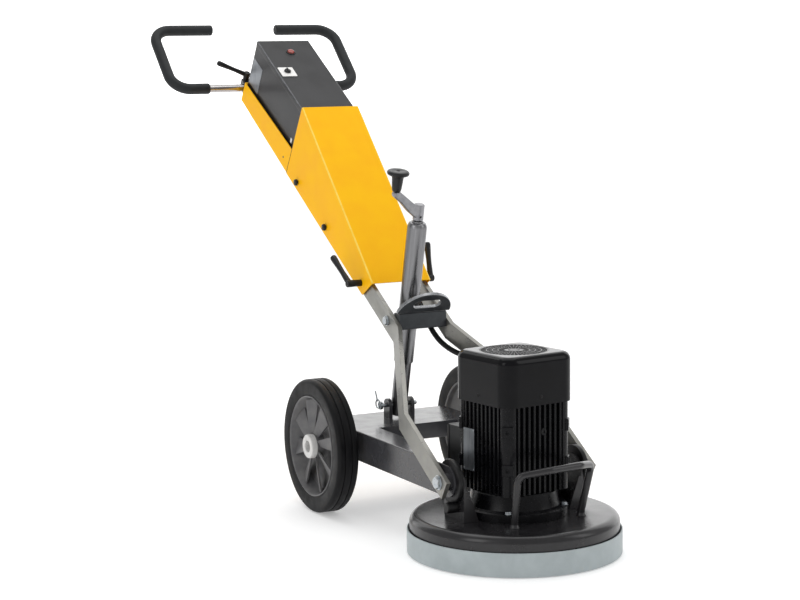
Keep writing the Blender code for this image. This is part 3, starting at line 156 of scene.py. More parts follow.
# Nearly black, with a broad highlight over the round shoulder.
hood_coat = surface("dark grey powder coat", ("#1D1C1E", "#262527"), 55, (0.20, 0.28), 1.8, 0.010,
                    Specular_IOR_Level=0.45)
# A flat dark grey with little shine.
box_coat = surface("graphite powder coat", ("#1E1E20", "#272729"), 45, (0.28, 0.38), 1.0, 0.014,
                   Specular_IOR_Level=0.3)
# The same coat painted paler on the lid's folded edges: a painted highlight where the folds catch the light.
lid_fold_highlight = surface("graphite powder coat with a painted fold highlight", ("#4E4F53", "#606166"), 20, (0.24, 0.32), 1.0, 0.008)
# Bright metallic grey painted on the lifting plate's edges: a painted highlight where the edges face the
# light from above.
plate_edge_highlight = surface("grey metallic paint with a painted edge highlight", ("#85878A", "#A0A2A4"), 9, (0.24, 0.34), 0.8,
                    0.010,
                    metallic=0.85)
# Deep black with sharp highlights at the corners.
gloss_enamel = surface("black gloss enamel", ("#070709", "#0B0B0E"), 50, (0.07, 0.12), 3.0, 0.006,
                       Specular_IOR_Level=0.14)
# Black, broken into small glints by the rough casting under it.
motor_enamel = surface("black enamel on castings", ("#08080A", "#0E0E11"), 18, (0.22, 0.34), 1.6, 0.030,
                       Specular_IOR_Level=0.16)
# Pale grey that brightens where it faces the light.
arm_paint = surface("silver grey metallic paint", ("#82817D", "#92918B"), 25, (0.26, 0.36), 0.8, 0.008,
                    metallic=0.75)
# A darker grey with the same fine sparkle.
bar_paint = surface("dark grey metallic paint", ("#35383B", "#404346"), 25, (0.30, 0.40), 0.8, 0.010,
                    metallic=0.5)
print("paints", len(bpy.data.materials))

# %% [markdown]
# **Metals.** Tubes are drawn, which leaves fine lines along them, so the spindle's pattern is
# stretched along its tilt. Bolts are zinc plated, with a cloudy, slightly blue sheen. The plate
# under the hood is grey cast iron, and its segments are sintered metal with diamond grit.

# %% Metal finishes
SPINDLE_TILT = math.radians(13.2)
# Long soft streaks along the tube, bright at its sides.
drawn_tube = surface("drawn steel tube", ("#747476", "#8E8E90"), 6, (0.24, 0.36), 1.2, 0.012, metallic=1.0,
                     stretch=(1, 1, 0.03), turn=-SPINDLE_TILT)
# Nearly a mirror, with its streaks along the tube.
bar_tube = surface("polished steel tube", ("#A9A5A4", "#C2BFBE"), 8, (0.16, 0.26), 1.0, 0.006, metallic=1.0,
                   stretch=(1, 0.04, 1))
# Bright and slightly blue, cloudy from the bath.
zinc_plate = surface("zinc plated steel", ("#A6ADB3", "#C3C7C9"), 9, (0.22, 0.38), 0.9, 0.012, metallic=1.0)
# An even grey gleam without clear reflections.
satin_steel = surface("ground steel", ("#7C7C7E", "#959597"), 10, (0.26, 0.38), 0.7, 0.010, metallic=1.0)
# A soft grey gleam over a pitted skin.
cast_handle = surface("tumbled cast steel", ("#86868A", "#9E9EA1"), 12, (0.34, 0.46), 1.1, 0.030,
                      metallic=0.9)
# Dull dark grey with a coarse skin.
cast_iron = surface("grey cast iron", ("#3C3B3A", "#4B4A48"), 7, (0.50, 0.66), 1.3, 0.060, metallic=0.8)
# A dull grey-brown, with its grit drawn coarser to show.
diamond_metal = surface("sintered diamond segment", ("#6B6760", "#8A867C"), 1.6, (0.55, 0.75), 0.9, 0.080,
                        metallic=0.6)
# A warm yellow-brown gleam.
bronze = surface("bearing bronze", ("#A27A3E", "#B98F50"), 8, (0.30, 0.40), 1.0, 0.010, metallic=1.0)
# Fine dark lines between the sheets, drawn coarser to show.
laminated = surface("laminated core steel", ("#55565A", "#77787C"), 14, (0.35, 0.50), 1.0, 0.040,
                    metallic=0.9,
                    stretch=(0.05, 0.05, 1))

# %% [markdown]
# **Rubber and plastic.** The tyres are solid black rubber with a dull bloom. The dust skirt is a
# light grey rubber strip. The grips are closed-cell foam, whose pores are under a millimetre, so
# they are drawn a little coarser to show. The rims are glass-filled nylon, moulded with a soft
# mottle. The knob and clamp levers are black nylon with a fine spark-eroded grain.

# %% Rubber and plastic finishes
# Black without shine, greyed by its bloom.
tyre_rubber = surface("solid tyre rubber", ("#08080A", "#101012"), 20, (0.44, 0.60), 1.4, 0.030,
                      Specular_IOR_Level=0.18)
# Black with a faint sheen on its rounded edge.
bush_rubber = surface("black bush rubber", ("#0E0E0F", "#171718"), 12, (0.36, 0.50), 1.2, 0.020,
                      Specular_IOR_Level=0.3)
# A flat light grey that takes the light evenly.
skirt_rubber = surface("light grey rubber strip", ("#9DA6A8", "#A9B2B4"), 35, (0.42, 0.54), 1.8, 0.020)
# Soft black, speckled by its pores.
grip_foam = surface("closed-cell foam", ("#15181A", "#202325"), 14, (0.50, 0.66), 1.1, 0.090,
                    Specular_IOR_Level=0.35)
# Mid grey with a mottle from the glass fibres.
rim_nylon = surface("glass-filled nylon", ("#58585A", "#6C6B6B"), 22, (0.42, 0.55), 1.3, 0.025)
# Off-white and slightly waxy.
hub_nylon = surface("white nylon bush", ("#C9C8C6", "#DAD9D7"), 12, (0.35, 0.48), 1.4, 0.010)
# Black with a fine satin grain.
black_nylon = surface("black moulded nylon", ("#0E0F10", "#17181A"), 12, (0.32, 0.46), 0.8, 0.020,
                      Specular_IOR_Level=0.35)
# Smooth black with a long soft highlight.
cable_sheath = surface("black cable sheath", ("#0B0B0C", "#131314"), 15, (0.34, 0.46), 1.2, 0.010,
                       Specular_IOR_Level=0.35)
# Deep glossy red with a small highlight.
red_lens = surface("red moulded plastic", ("#7C1D0C", "#A02A14"), 6, (0.14, 0.22), 1.2, 0.006,
                   Coat_Weight=0.4, Coat_Roughness=0.08)
# Clean white with a soft sheen.
white_plastic = surface("white moulded plastic", ("#EBEAE7", "#F6F5F3"), 10, (0.32, 0.42), 0.9, 0.008)
# Even grey without shine.
grey_plastic = surface("grey moulded plastic", ("#7E7F80", "#8B8C8D"), 12, (0.40, 0.50), 0.9, 0.010)
# Silver grey, brushed in one direction.
foil = surface("brushed aluminium foil", ("#7F8389", "#9A9EA3"), 5, (0.26, 0.40), 0.8, 0.006, metallic=0.9,
               stretch=(1, 1, 0.1))
# Black without shine, so a small screw or a socket reads as a dark dot.
dark_hole = surface("unlit socket", ("#050505", "#0A0A0A"), 5, (0.6, 0.8), 1.0, 0.010)
print("finishes", len(bpy.data.materials))

# %% [markdown]
# **Modelling helpers.** Turned pieces start as one vertex that is extruded along a profile and spun.
# Flat pieces start the same way: the outline is drawn, filled and extruded. Both are what a person
# does by hand in edit mode, so the helpers only name the steps.

# %% Drawing and settling
DISC = Vector((0.600, 0.0, 0.0))
HERE = Matrix.Identity(4)


def deselect():
    """Leave edit mode and let go of everything."""
    if bpy.context.object and bpy.context.object.mode != "OBJECT":
        bpy.ops.object.mode_set(mode="OBJECT")
    bpy.ops.object.select_all(action="DESELECT")


def draw(name, points, closed=False):
    """An object in edit mode with one chain of edges through the points."""
    deselect()
    bpy.ops.mesh.primitive_plane_add(size=0.01, location=(0.0, 0.0, 0.0))
    made = bpy.context.object
    made.name = name
    bpy.ops.object.mode_set(mode="EDIT")
    bpy.ops.mesh.select_mode(type="VERT")
    bpy.ops.mesh.select_all(action="SELECT")
    bpy.ops.mesh.merge(type="CENTER")
    bpy.ops.transform.translate(value=points[0])
    for before, after in zip(points, points[1:]):
        step = Vector(after) - Vector(before)
        bpy.ops.mesh.extrude_region_move(TRANSFORM_OT_translate={"value": step})
    bpy.ops.mesh.select_all(action="SELECT")
    if closed:
        bpy.ops.mesh.edge_face_add()
    return made


def settle(made, place):
    """Put a finished mesh where it belongs and leave its object at the origin."""
    deselect()
    made.select_set(True)
    bpy.context.view_layer.objects.active = made
    made.matrix_world = place
    bpy.ops.object.transform_apply(location=True, rotation=True, scale=True)
    return made


def shade(made, angle=35.0):
    deselect()
    made.select_set(True)
    bpy.context.view_layer.objects.active = made
    bpy.ops.object.shade_smooth_by_angle(angle=math.radians(angle))
    return made


print("the disc turns about x =", DISC.x)

# %% [markdown]
# A turned piece is a profile spun round Z. A flat piece is an outline that is filled, then extruded
# to both sides of its own plane.

# %% Turned and flat pieces
def turned(name, profile, place, steps=72, ring=False):
    """Spin a profile of (radius, height) points round Z; a ring's profile is closed."""
    points = [(r, 0.0, h) for r, h in profile]
    if ring:
        points.append(points[0])
    made = draw(name, points)
    bpy.ops.mesh.spin(steps=steps, angle=2 * math.pi, center=(0, 0, 0), axis=(0, 0, 1))
    bpy.ops.mesh.select_all(action="SELECT")
    bpy.ops.mesh.remove_doubles(threshold=0.000005)
    bpy.ops.mesh.normals_make_consistent(inside=False)
    return shade(settle(made, place))


def plate(name, outline, thick, place):
    """Fill an outline in the XY plane and extrude it to both sides of that plane."""
    made = draw(name, [(x, y, -thick / 2) for x, y in outline], closed=True)
    bpy.ops.mesh.extrude_region_move(TRANSFORM_OT_translate={"value": (0.0, 0.0, thick)})
    bpy.ops.mesh.select_all(action="SELECT")
    bpy.ops.mesh.normals_make_consistent(inside=False)
    return settle(made, place)


print("two ways to start a piece:", turned.__name__, "and", plate.__name__)

# %% [markdown]
# No real edge is perfectly sharp, so edges are bevelled a little. Holes are cut with a boolean, as a
# drill or a punch cuts them. What repeats is modelled once at the origin, then copied.

# %% Easing, carving, joining and copying
def apply_all(made):
    deselect()
    made.select_set(True)
    bpy.context.view_layer.objects.active = made
    for modifier in list(made.modifiers):
        bpy.ops.object.modifier_apply(modifier=modifier.name)
    return made


def ease(made, width, segments=3, angle=40.0):
    """Round the edges that are sharper than an angle."""
    soft = made.modifiers.new("eased edges", "BEVEL")
    soft.width = width
    soft.segments = segments
    soft.limit_method = "ANGLE"
    soft.angle_limit = math.radians(angle)
    shade(apply_all(made))
    flat = made.modifiers.new("flat faces stay flat", "WEIGHTED_NORMAL")
    flat.keep_sharp = True
    return apply_all(made)


def carve(made, cutter, operation="DIFFERENCE"):
    """Boolean with a second closed mesh, which is then removed."""
    tool = made.modifiers.new("carve", "BOOLEAN")
    tool.operation = operation
    tool.solver = "EXACT"
    tool.object = cutter
    apply_all(made)
    bpy.data.objects.remove(cutter, do_unlink=True)
    return made


def join(pieces):
    deselect()
    for piece in pieces:
        piece.select_set(True)
    bpy.context.view_layer.objects.active = pieces[0]
    bpy.ops.object.join()
    return bpy.context.object


def copy_of(piece, name, place):
    """A copy with its own mesh, moved by a placement."""
    made = piece.copy()
    made.data = piece.data.copy()
    made.name = name
    bpy.context.scene.collection.objects.link(made)
    return settle(made, place)


def copies(piece, spots):
    """Copies of one piece at named places. The piece they are copied from is removed."""
    made = [copy_of(piece, name, place) for name, place in spots]
    bpy.data.objects.remove(piece, do_unlink=True)
    return made


print("copies keep their own mesh, so each can ride on its own body")

# %% [markdown]
# Bent bars and cables are curves with a round section. Each is made a mesh before it is placed.

# %% Round bars
def bar(name, points, radius, place=HERE, sides=6, round_end=0.0):
    """Round bar or cable along points; round_end tapers its last millimetres."""
    deselect()
    bpy.ops.curve.primitive_nurbs_path_add()
    made = bpy.context.object
    made.name = name
    made.data.splines.clear()
    line = made.data.splines.new("POLY")
    points = [Vector(p) for p in points]
    shares = [1.0] * len(points)
    if round_end:
        ends = []
        for first, second in ((points[0], points[1]), (points[-1], points[-2])):
            run = (second - first).normalized()
            ends.append([first + run * round_end * t for t in (0.0, 0.15, 0.45, 1.0)])
        points = ends[0] + points[1:-1] + ends[1][::-1]
        shape = [0.72, 0.86, 0.96, 1.0]
        shares = shape + [1.0] * (len(points) - 8) + shape[::-1]
    line.points.add(len(points) - 1)
    for point, where, share in zip(line.points, points, shares):
        point.co = (*where, 1.0)
        point.radius = share
    made.data.bevel_depth = radius
    made.data.bevel_resolution = sides
    made.data.use_fill_caps = True
    bpy.ops.object.convert(target="MESH")
    return shade(settle(bpy.context.object, place), 40.0)


print("a bar's soft end is 0.72 of its radius")

# %% [markdown]
# Arcs, rounded corners and placements let each piece be described in its own plain coordinates.

# %% Arcs and placements
def arc(centre, radius, start, end, count):
    """Points of an arc, angles in degrees, both ends included."""
    angles = [math.radians(start + (end - start) * i / count) for i in range(count + 1)]
    return [(centre[0] + radius * math.cos(a), centre[1] + radius * math.sin(a)) for a in angles]


def basis(origin, x_axis, y_axis, z_axis):
    rows = [[x_axis[i], y_axis[i], z_axis[i], origin[i]] for i in range(3)]
    return Matrix(rows + [[0.0, 0.0, 0.0, 1.0]])


def across(point, side):
    """Placement at a point with Z pointing sideways out of the machine."""
    return basis(point, Vector((0, 0, 1)), Vector((side, 0, 0)), Vector((0, side, 0)))


def round_corners(path, radius, count=10):
    """Replace each inner corner of a path by an arc."""
    points = [Vector(path[0])]
    for before, here, after in zip(path, path[1:], path[2:]):
        here = Vector(here)
        back = (Vector(before) - here).normalized()
        on = (Vector(after) - here).normalized()
        half = back.angle(on) / 2
        middle = here + (back + on).normalized() * (radius / math.sin(half))
        first = here + back * (radius / math.tan(half)) - middle
        last = here + on * (radius / math.tan(half)) - middle
        sweep = first.angle(last)
        for i in range(count + 1):
            t = i / count
            arm = (first * math.sin((1 - t) * sweep) + last * math.sin(t * sweep)) / math.sin(sweep)
            points.append(middle + arm)
    points.append(Vector(path[-1]))
    return points


print("a quarter arc", [tuple(round(v, 2) for v in p) for p in arc((0, 0), 1.0, 0.0, 90.0, 2)])

# %% [markdown]
# Every finished piece is mounted the same way: its finish, the body that carries it, and the CAD
# nodes that it stands for. Folded sheets and plates start from a copy of the CAD's piece, and inner
# pieces keep the CAD's own mesh and only get a finish.

# %% Mounting, repainting and refining
def mount(made, finish, body, slot, *nodes):
    """Give a piece its finish and its body, and hide the CAD nodes that it stands for. The slot is not used.
    """
    made.data.materials.clear()
    made.data.materials.append(finish)
    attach(made, body)
    if nodes:
        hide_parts(*nodes)
    return made


def repaint(finish, *nodes):
    """Give CAD nodes that stay as they are a real finish."""
    for node in nodes:
        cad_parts[node].data.materials.clear()
        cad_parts[node].data.materials.append(finish)


def paint_highlight_faces(made, finish, test):
    """Give a second finish to the faces that pass a test on their normal and area; every use here paints a
    highlight.
    """
    made.data.materials.append(finish)
    chosen = [face for face in made.data.polygons if test(face.normal, face.area)]
    for face in chosen:
        face.material_index = 1
    print(made.name, len(chosen), "faces in", finish.name)


def refined(node, width, segments=2, fold=None, fold_radius=0.003):
    """A copy of a CAD piece: faces merged, chosen folds rounded, the other sharp edges eased."""
    made = bpy.data.objects.new(node + "_finished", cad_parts[node].data.copy())
    bpy.context.scene.collection.objects.link(made)
    made.data.materials.clear()
    deselect()
    made.select_set(True)
    bpy.context.view_layer.objects.active = made
    bpy.ops.object.mode_set(mode="EDIT")
    bpy.ops.mesh.select_mode(type="EDGE")
    bpy.ops.mesh.select_all(action="SELECT")
    bpy.ops.mesh.remove_doubles(threshold=0.00001)
    bpy.ops.mesh.dissolve_limited(angle_limit=math.radians(0.5))
    if fold:
        bpy.ops.mesh.select_all(action="DESELECT")
        bpy.ops.object.mode_set(mode="OBJECT")
        points = made.data.vertices
        for edge in made.data.edges:
            edge.select = fold(points[edge.vertices[0]].co, points[edge.vertices[1]].co)
        bpy.ops.object.mode_set(mode="EDIT")
        bpy.ops.mesh.bevel(offset=fold_radius, segments=5, profile=0.5, affect="EDGES")
    bpy.ops.object.mode_set(mode="OBJECT")
    return ease(made, width, segments)


print("CAD nodes in the frame", len(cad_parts))

# %% [markdown]
# Bolts and screws are the same few shapes again and again, so they are modelled by two functions:
# a hexagon head with a chamfered top on a washer, and a button-head screw with a hexagon socket.

# %% Fasteners
def hex_bolt(name, radius, height, washer=0.0):
    """Hexagon head whose corners are chamfered on top; radius is to the corners."""
    crown = [(0.0, height), (radius * 0.84, height), (radius, height - radius * 0.12), (radius, 0.0),
             (0.0, 0.0)]
    hexagon = plate("hexagon", arc((0.0, 0.0), radius, 0.0, 300.0, 5), height * 4, HERE)
    head = carve(turned(name, crown, HERE, 48), hexagon, "INTERSECT")
    if washer:
        section = [(washer, 0.0013), (washer, 0.0002), (radius * 0.5, 0.0002), (radius * 0.5, 0.0013)]
        head = join([head, turned("washer", section, HERE, 40, True)])
    return ease(head, 0.0003, 2)


def socket_screw(name, radius, height):
    """Button head with a hexagon socket."""
    dome = [(0.0, height)] + arc((radius - height * 0.9, 0.0), height * 0.95, 88.0, 5.0, 6)
    made = turned(name, dome + [(radius, 0.0), (0.0, 0.0)], HERE, 32)
    key = plate("key", arc((0.0, 0.0), radius * 0.42, 0.0, 300.0, 5), height * 1.2,
                Matrix.Translation((0.0, 0.0, height)))
    return shade(carve(made, key))


print("a bolt's chamfer takes", round(1.0 - 0.84, 2), "of its radius")

# %% [markdown]
# **The hood** is a pressed round shell with a rolled shoulder, and the dust skirt is a rubber strip
# that stands round it. A dark gap shows between them because the skirt's top edge stands off.

# %% Hood and dust skirt
HEAD = Matrix.Translation(DISC)
HOOD_RADIUS = 0.2196
HOOD_TOP = 0.083
shoulder = 0.017
outer = arc((HOOD_RADIUS - shoulder, HOOD_TOP - shoulder), shoulder, 90.0, 0.0, 10)
inner = arc((HOOD_RADIUS - shoulder, HOOD_TOP - shoulder), shoulder - 0.003, 0.0, 90.0, 10)
hood_profile = [(0.075, HOOD_TOP)] + outer + [(HOOD_RADIUS, 0.0205), (HOOD_RADIUS - 0.0005, 0.020)]
hood_profile += [(HOOD_RADIUS - 0.003, 0.020)] + inner + [(0.075, HOOD_TOP - 0.003)]
hood = turned("hood_shell", hood_profile, HEAD, 128, True)
mount(hood, hood_coat, "head", "charcoal", "hood")

skirt_profile = [(0.2245, 0.0510), (0.2250, 0.0505), (0.2250, 0.0026), (0.2244, 0.0020), (0.2208, 0.0020)]
skirt_profile += [(0.2202, 0.0026), (0.2202, 0.0430), (0.2222, 0.0450), (0.2222, 0.0505), (0.2227, 0.0510)]
skirt = turned("skirt_strip", skirt_profile, HEAD, 128, True)
mount(skirt, skirt_rubber, "head", "skirt", "dust_skirt")
print("hood and skirt", [round(v, 3) for v in hood.dimensions])

# %% [markdown]
# **The motor** is a squirrel-cage motor with a finned aluminium housing. The fins run up each side,
# the corners carry square pads for feet, and a foot flange bolts the whole to the hood. It is
# turned eight degrees on its flange. The fins are drawn as one comb outline and extruded, because a
# housing like this is cast with one cross-section along its length. The turned foot is laid over the
# CAD's own end shield, which stays under it.

# %% Motor housing
MOTOR = HEAD @ Matrix.Rotation(math.radians(8.0), 4, "Z")
HALF = 0.085
FINS = 9


def comb():
    """Square outline with fins on each side and broad corner columns."""
    base = HALF - 0.010
    span = 2 * (HALF - 0.024)
    pitch = span / FINS
    points = []
    for turn in range(4):
        face = [(HALF - 0.001, -span / 2 - 0.004), (HALF - 0.001, -span / 2)]
        for i in range(FINS):
            middle = -span / 2 + pitch * (i + 0.5)
            face += [(base, middle - pitch * 0.5 + 0.0006), (base, middle - pitch * 0.27)]
            face += [(HALF, middle - pitch * 0.20), (HALF, middle + pitch * 0.20),
                     (base, middle + pitch * 0.27)]
        face += [(base, span / 2 - 0.0006), (HALF - 0.001, span / 2), (HALF - 0.001, span / 2 + 0.004)]
        face += arc((HALF - 0.019, HALF - 0.019), 0.018, 8.0, 82.0, 6)
        around = Matrix.Rotation(math.radians(90.0 * turn), 2)
        points += [tuple(around @ Vector(p)) for p in face]
    return points


housing = plate("finned_housing", comb(), 0.2084, MOTOR @ Matrix.Translation((0, 0, 0.2407)))
housing = ease(housing, 0.0006, 2)
corners = [MOTOR @ Matrix.Rotation(math.radians(45.0 + 90.0 * turn), 4, "Z") for turn in range(4)]
pad = plate("pad", [(-0.012, -0.012), (0.012, -0.012), (0.012, 0.012), (-0.012, 0.012)], 0.007, HERE)
hole = turned("hole", [(0.0, 0.006), (0.0032, 0.006), (0.0032, 0.0), (0.0, 0.0)], HERE, 24)
pads = copies(ease(carve(pad, hole), 0.0012, 3), [
    ("pad_copy", corner @ basis((0.1105, 0.0, height), (0, 1, 0), (0, 0, 1), (1, 0, 0)))
    for corner in corners for height in (0.2710, 0.1925)])
front = MOTOR @ basis((HALF - 0.004, 0.0096, 0.264), (0, 1, 0), (0, 0, 1), (1, 0, 0))
boss = [(0.0030, 0.0035), (0.0030, 0.0052), (0.0068, 0.0052), (0.0078, 0.0044), (0.0078, -0.004)]
pads.append(turned("boss", boss + [(0.0, -0.004), (0.0, 0.0035)], front, 40, True))
housing = join([housing] + pads)
mount(housing, motor_enamel, "head", "black_motor", "motor_housing")

flange = [(0.0745, 0.136), (0.0880, 0.136), (0.0900, 0.134), (0.0935, 0.112), (0.0965, 0.1045)]
flange += [(0.1105, 0.1003), (0.1120, 0.0988), (0.1120, 0.0848), (0.1105, 0.0833), (0.0745, 0.0833)]
foot = turned("foot_flange", flange, MOTOR, 96, True)
mount(foot, motor_enamel, "head", "black_motor")
on_foot = Matrix.Translation((0.1035, 0, 0.1010))
for bolt in copies(hex_bolt("flange_bolt", 0.0066, 0.0055, 0.0080),
                   [(f"flange_bolt_{i + 1}", corner @ on_foot) for i, corner in enumerate(corners)]):
    mount(bolt, zinc_plate, "head", "zinc")
repaint(motor_enamel, "drive_end_shield")
print("housing", len(housing.data.polygons), "faces")

# %% [markdown]
# **The fan cowl** is a deep-drawn square cap over the motor's top. It starts as a cube whose upright
# edges, then whose top edges, are bevelled. The bottom face is deleted and the skin thickened. The
# round air grille is rings and bars, over a dark space where the fan turns.

# %% Fan cowl
COWL_HALF = 0.0915
COWL_LOW = 0.3212
COWL_HIGH = 0.4240


def square_cap(name, half, low, high, corner, edge, skin):
    """Open-bottomed cap with round corners, made from a cube."""
    deselect()
    bpy.ops.mesh.primitive_cube_add(size=1.0, location=(0, 0, (low + high) / 2),
                                    scale=(2 * half, 2 * half, high - low))
    made = bpy.context.object
    made.name = name
    bpy.ops.object.transform_apply(location=True, rotation=True, scale=True)

    def pick(test):
        bpy.ops.object.mode_set(mode="EDIT")
        bpy.ops.mesh.select_mode(type="EDGE")
        bpy.ops.mesh.select_all(action="DESELECT")
        bpy.ops.object.mode_set(mode="OBJECT")
        for e in made.data.edges:
            a, b = (made.data.vertices[i].co for i in e.vertices)
            e.select = test(a, b)
        bpy.ops.object.mode_set(mode="EDIT")

    pick(lambda a, b: abs(a.z - b.z) > 0.01)
    bpy.ops.mesh.bevel(offset=corner, segments=10, profile=0.5, affect="EDGES")
    pick(lambda a, b: a.z > high - 0.0001 and b.z > high - 0.0001)
    bpy.ops.mesh.bevel(offset=edge, segments=6, profile=0.5, affect="EDGES")
    bpy.ops.mesh.select_mode(type="FACE")
    bpy.ops.mesh.select_all(action="DESELECT")
    bpy.ops.object.mode_set(mode="OBJECT")
    for face in made.data.polygons:
        face.select = face.normal.z < -0.9
    bpy.ops.object.mode_set(mode="EDIT")
    bpy.ops.mesh.delete(type="FACE")
    bpy.ops.object.mode_set(mode="OBJECT")
    wall = made.modifiers.new("skin", "SOLIDIFY")
    wall.thickness = skin
    wall.offset = -1.0
    return apply_all(made)


cowl = square_cap("cowl_shell", COWL_HALF, COWL_LOW, COWL_HIGH, 0.031, 0.0165, 0.0018)
cowl = settle(cowl, MOTOR)
opening = [(0.0, 0.03), (0.0730, 0.03), (0.0730, -0.03), (0.0, -0.03)]
cowl = carve(cowl, turned("opening", opening, MOTOR @ Matrix.Translation((0, 0, COWL_HIGH)), 96))
cowl = ease(cowl, 0.0005, 2, 50.0)
mount(cowl, gloss_enamel, "head", "black_gloss", "fan_cowl")

grille_top = COWL_HIGH - 0.0002
rings = []
grille_low = grille_top - 0.003
for low_r, high_r in ((0.0690, 0.0745), (0.0560, 0.0580), (0.0440, 0.0460), (0.0320, 0.0340),
                      (0.0120, 0.0200)):
    section = [(high_r, grille_top), (high_r, grille_low), (low_r, grille_low), (low_r, grille_top)]
    rings.append(turned("ring", section, MOTOR, 96, True))
cap = [(0.0, grille_top), (0.0100, grille_top), (0.0100, grille_low), (0.0, grille_low)]
rings.append(turned("cap", cap, MOTOR, 48))
for first, start in ((0, 0.019), (1, 0.033)):
    outline = [(start, -0.0007), (0.0700, -0.0011), (0.0700, 0.0011), (start, 0.0007)]
    spoke = plate("spoke", outline, 0.0022, Matrix.Translation((0, 0, grille_top - 0.0014)))
    rings += copies(spoke, [("spoke_copy", MOTOR @ Matrix.Rotation(math.radians(7.5 * i), 4, "Z"))
                            for i in range(first, 48, 2)])
grille = shade(join(rings))
mount(grille, motor_enamel, "head", "black_gloss")
on_wall = basis((COWL_HALF - 0.0003, -0.002, 0.339), (0, 1, 0), (0, 0, 1), (1, 0, 0))
for screw in copies(socket_screw("cowl_screw", 0.0038, 0.0016), [
        (f"cowl_screw_{i + 1}", MOTOR @ Matrix.Rotation(math.radians(90.0 * i), 4, "Z") @ on_wall)
        for i in range(4)]):
    mount(screw, dark_hole, "head", "black_gloss")
print("grille", len(grille.data.polygons), "faces")

# %% [markdown]
# The motor's side carries a terminal box with a lid and a cable gland, and its right-hand face a
# blank rating plate with four rivets. The inner parts keep their CAD shapes and get real finishes.

# %% Terminal box, rating plate and inner parts
for node, softness in (("terminal_box", 0.0012), ("terminal_box_lid", 0.0030)):
    mount(refined(node, softness, 4), black_nylon, "head", "black_plastic", node)
lid_face = -HALF - 0.0003 - 0.070
for screw in copies(socket_screw("box_screw", 0.0036, 0.0014), [
        (f"box_screw_{i + 1}", MOTOR @ basis((lid_face + 0.0003, y, z), (0, -1, 0), (0, 0, 1), (-1, 0, 0)))
        for i, (y, z) in enumerate(((-0.052, 0.158), (0.052, 0.158), (0.052, 0.245), (-0.052, 0.245)))]):
    mount(screw, zinc_plate, "head", "zinc")

gland_low, gland_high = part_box("cable_gland")
gland_place = Matrix.Translation(((gland_low[0] + gland_high[0]) / 2, (gland_low[1] + gland_high[1]) / 2,
                                  0.253))
neck = [(0.0066, 0.0222), (0.0072, 0.0225), (0.0098, 0.0222), (0.0114, 0.0185), (0.0116, 0.0100),
        (0.0100, 0.0098)]
neck += [(0.0100, 0.0003), (0.0066, 0.0003)]
gland = turned("gland_nut", neck, gland_place, 48, True)
collar = settle(hex_bolt("collar", 0.0129, 0.0085), gland_place @ Matrix.Translation((0, 0, 0.0003)))
gland = join([gland, collar])
mount(gland, black_nylon, "head", "black_plastic", "cable_gland")

plate_place = MOTOR @ basis((-0.0425, -HALF - 0.0006, 0.2193), (1, 0, 0), (0, 0, 1), (0, -1, 0))
outline = [(-0.018, -0.044), (0.018, -0.044), (0.018, 0.044), (-0.018, 0.044)]
rating = plate("rating_plate", outline, 0.0008, plate_place)
rating = ease(rating, 0.0003, 2)
mount(rating, foil, "head", "black_motor")
rivet = turned("rivet", [(0.0, 0.0012), (0.0010, 0.0010), (0.0015, 0.0003), (0.0015, 0.0), (0.0, 0.0)],
               HERE, 20)
for rivet in copies(rivet, [
        (f"rivet_{i + 1}", plate_place @ Matrix.Translation((x, y, 0.0003)))
        for i, (x, y) in enumerate(((-0.0155, -0.041), (0.0155, -0.041), (0.0155, 0.041),
                                    (-0.0155, 0.041)))]):
    mount(rivet, zinc_plate, "head", "zinc")

repaint(laminated, "stator_core", "rotor_core")
repaint(motor_enamel, "top_end_shield")
repaint(satin_steel, "lower_bearing", "upper_bearing", "motor_shaft", "drive_hub", "spindle_screw")
repaint(black_nylon, "cooling_fan")
repaint(bronze, "spindle_nut")
repaint(grey_plastic, "contactor")
repaint(diamond_metal, "grinding_segment_1", "grinding_segment_2", "grinding_segment_3")
print("inner parts keep their CAD shapes")

# %% [markdown]
# **The front handle** is a bent round bar that guards the motor and lifts the head. Its bends are
# true arcs, so its path is drawn with rounded corners before the bar's thickness is added.

# %% Front handle
ankle = Vector((0.111, 0.0875, 0.0930))
knee = Vector((0.1335, 0.096, 0.1935))
crown = Vector((0.1645, 0.040, 0.2030))
half_path = [ankle, knee, crown]
handle_path = half_path + [Vector((p.x, -p.y, p.z)) for p in reversed(half_path)]
handle_path = round_corners(handle_path, 0.021, 10)
handle_path = [Vector((0.111, 0.0875, 0.0835))] + handle_path + [Vector((0.111, -0.0875, 0.0835))]
handle = bar("lift_handle", handle_path, 0.0078, MOTOR, 8)
mount(handle, hood_coat, "head", "charcoal", "front_handle")
bead = [(0.0079, 0.0895), (0.0092, 0.0865), (0.0112, 0.0833), (0.0079, 0.0833)]
for weld in copies(turned("handle_weld", bead, HERE, 32, True), [
        (f"handle_weld_{i + 1}", MOTOR @ Matrix.Translation((0.111, y, 0.0)))
        for i, y in enumerate((0.0875, -0.0875))]):
    mount(weld, hood_coat, "head", "charcoal")
print("front handle", len(handle.data.polygons), "faces")

# %% [markdown]
# **The lateral pivot** joins head, chassis and fork. Each bracket on the hood is sandwiched with a
# round rubber bush, the chassis flange and the fork arm on one bolt.

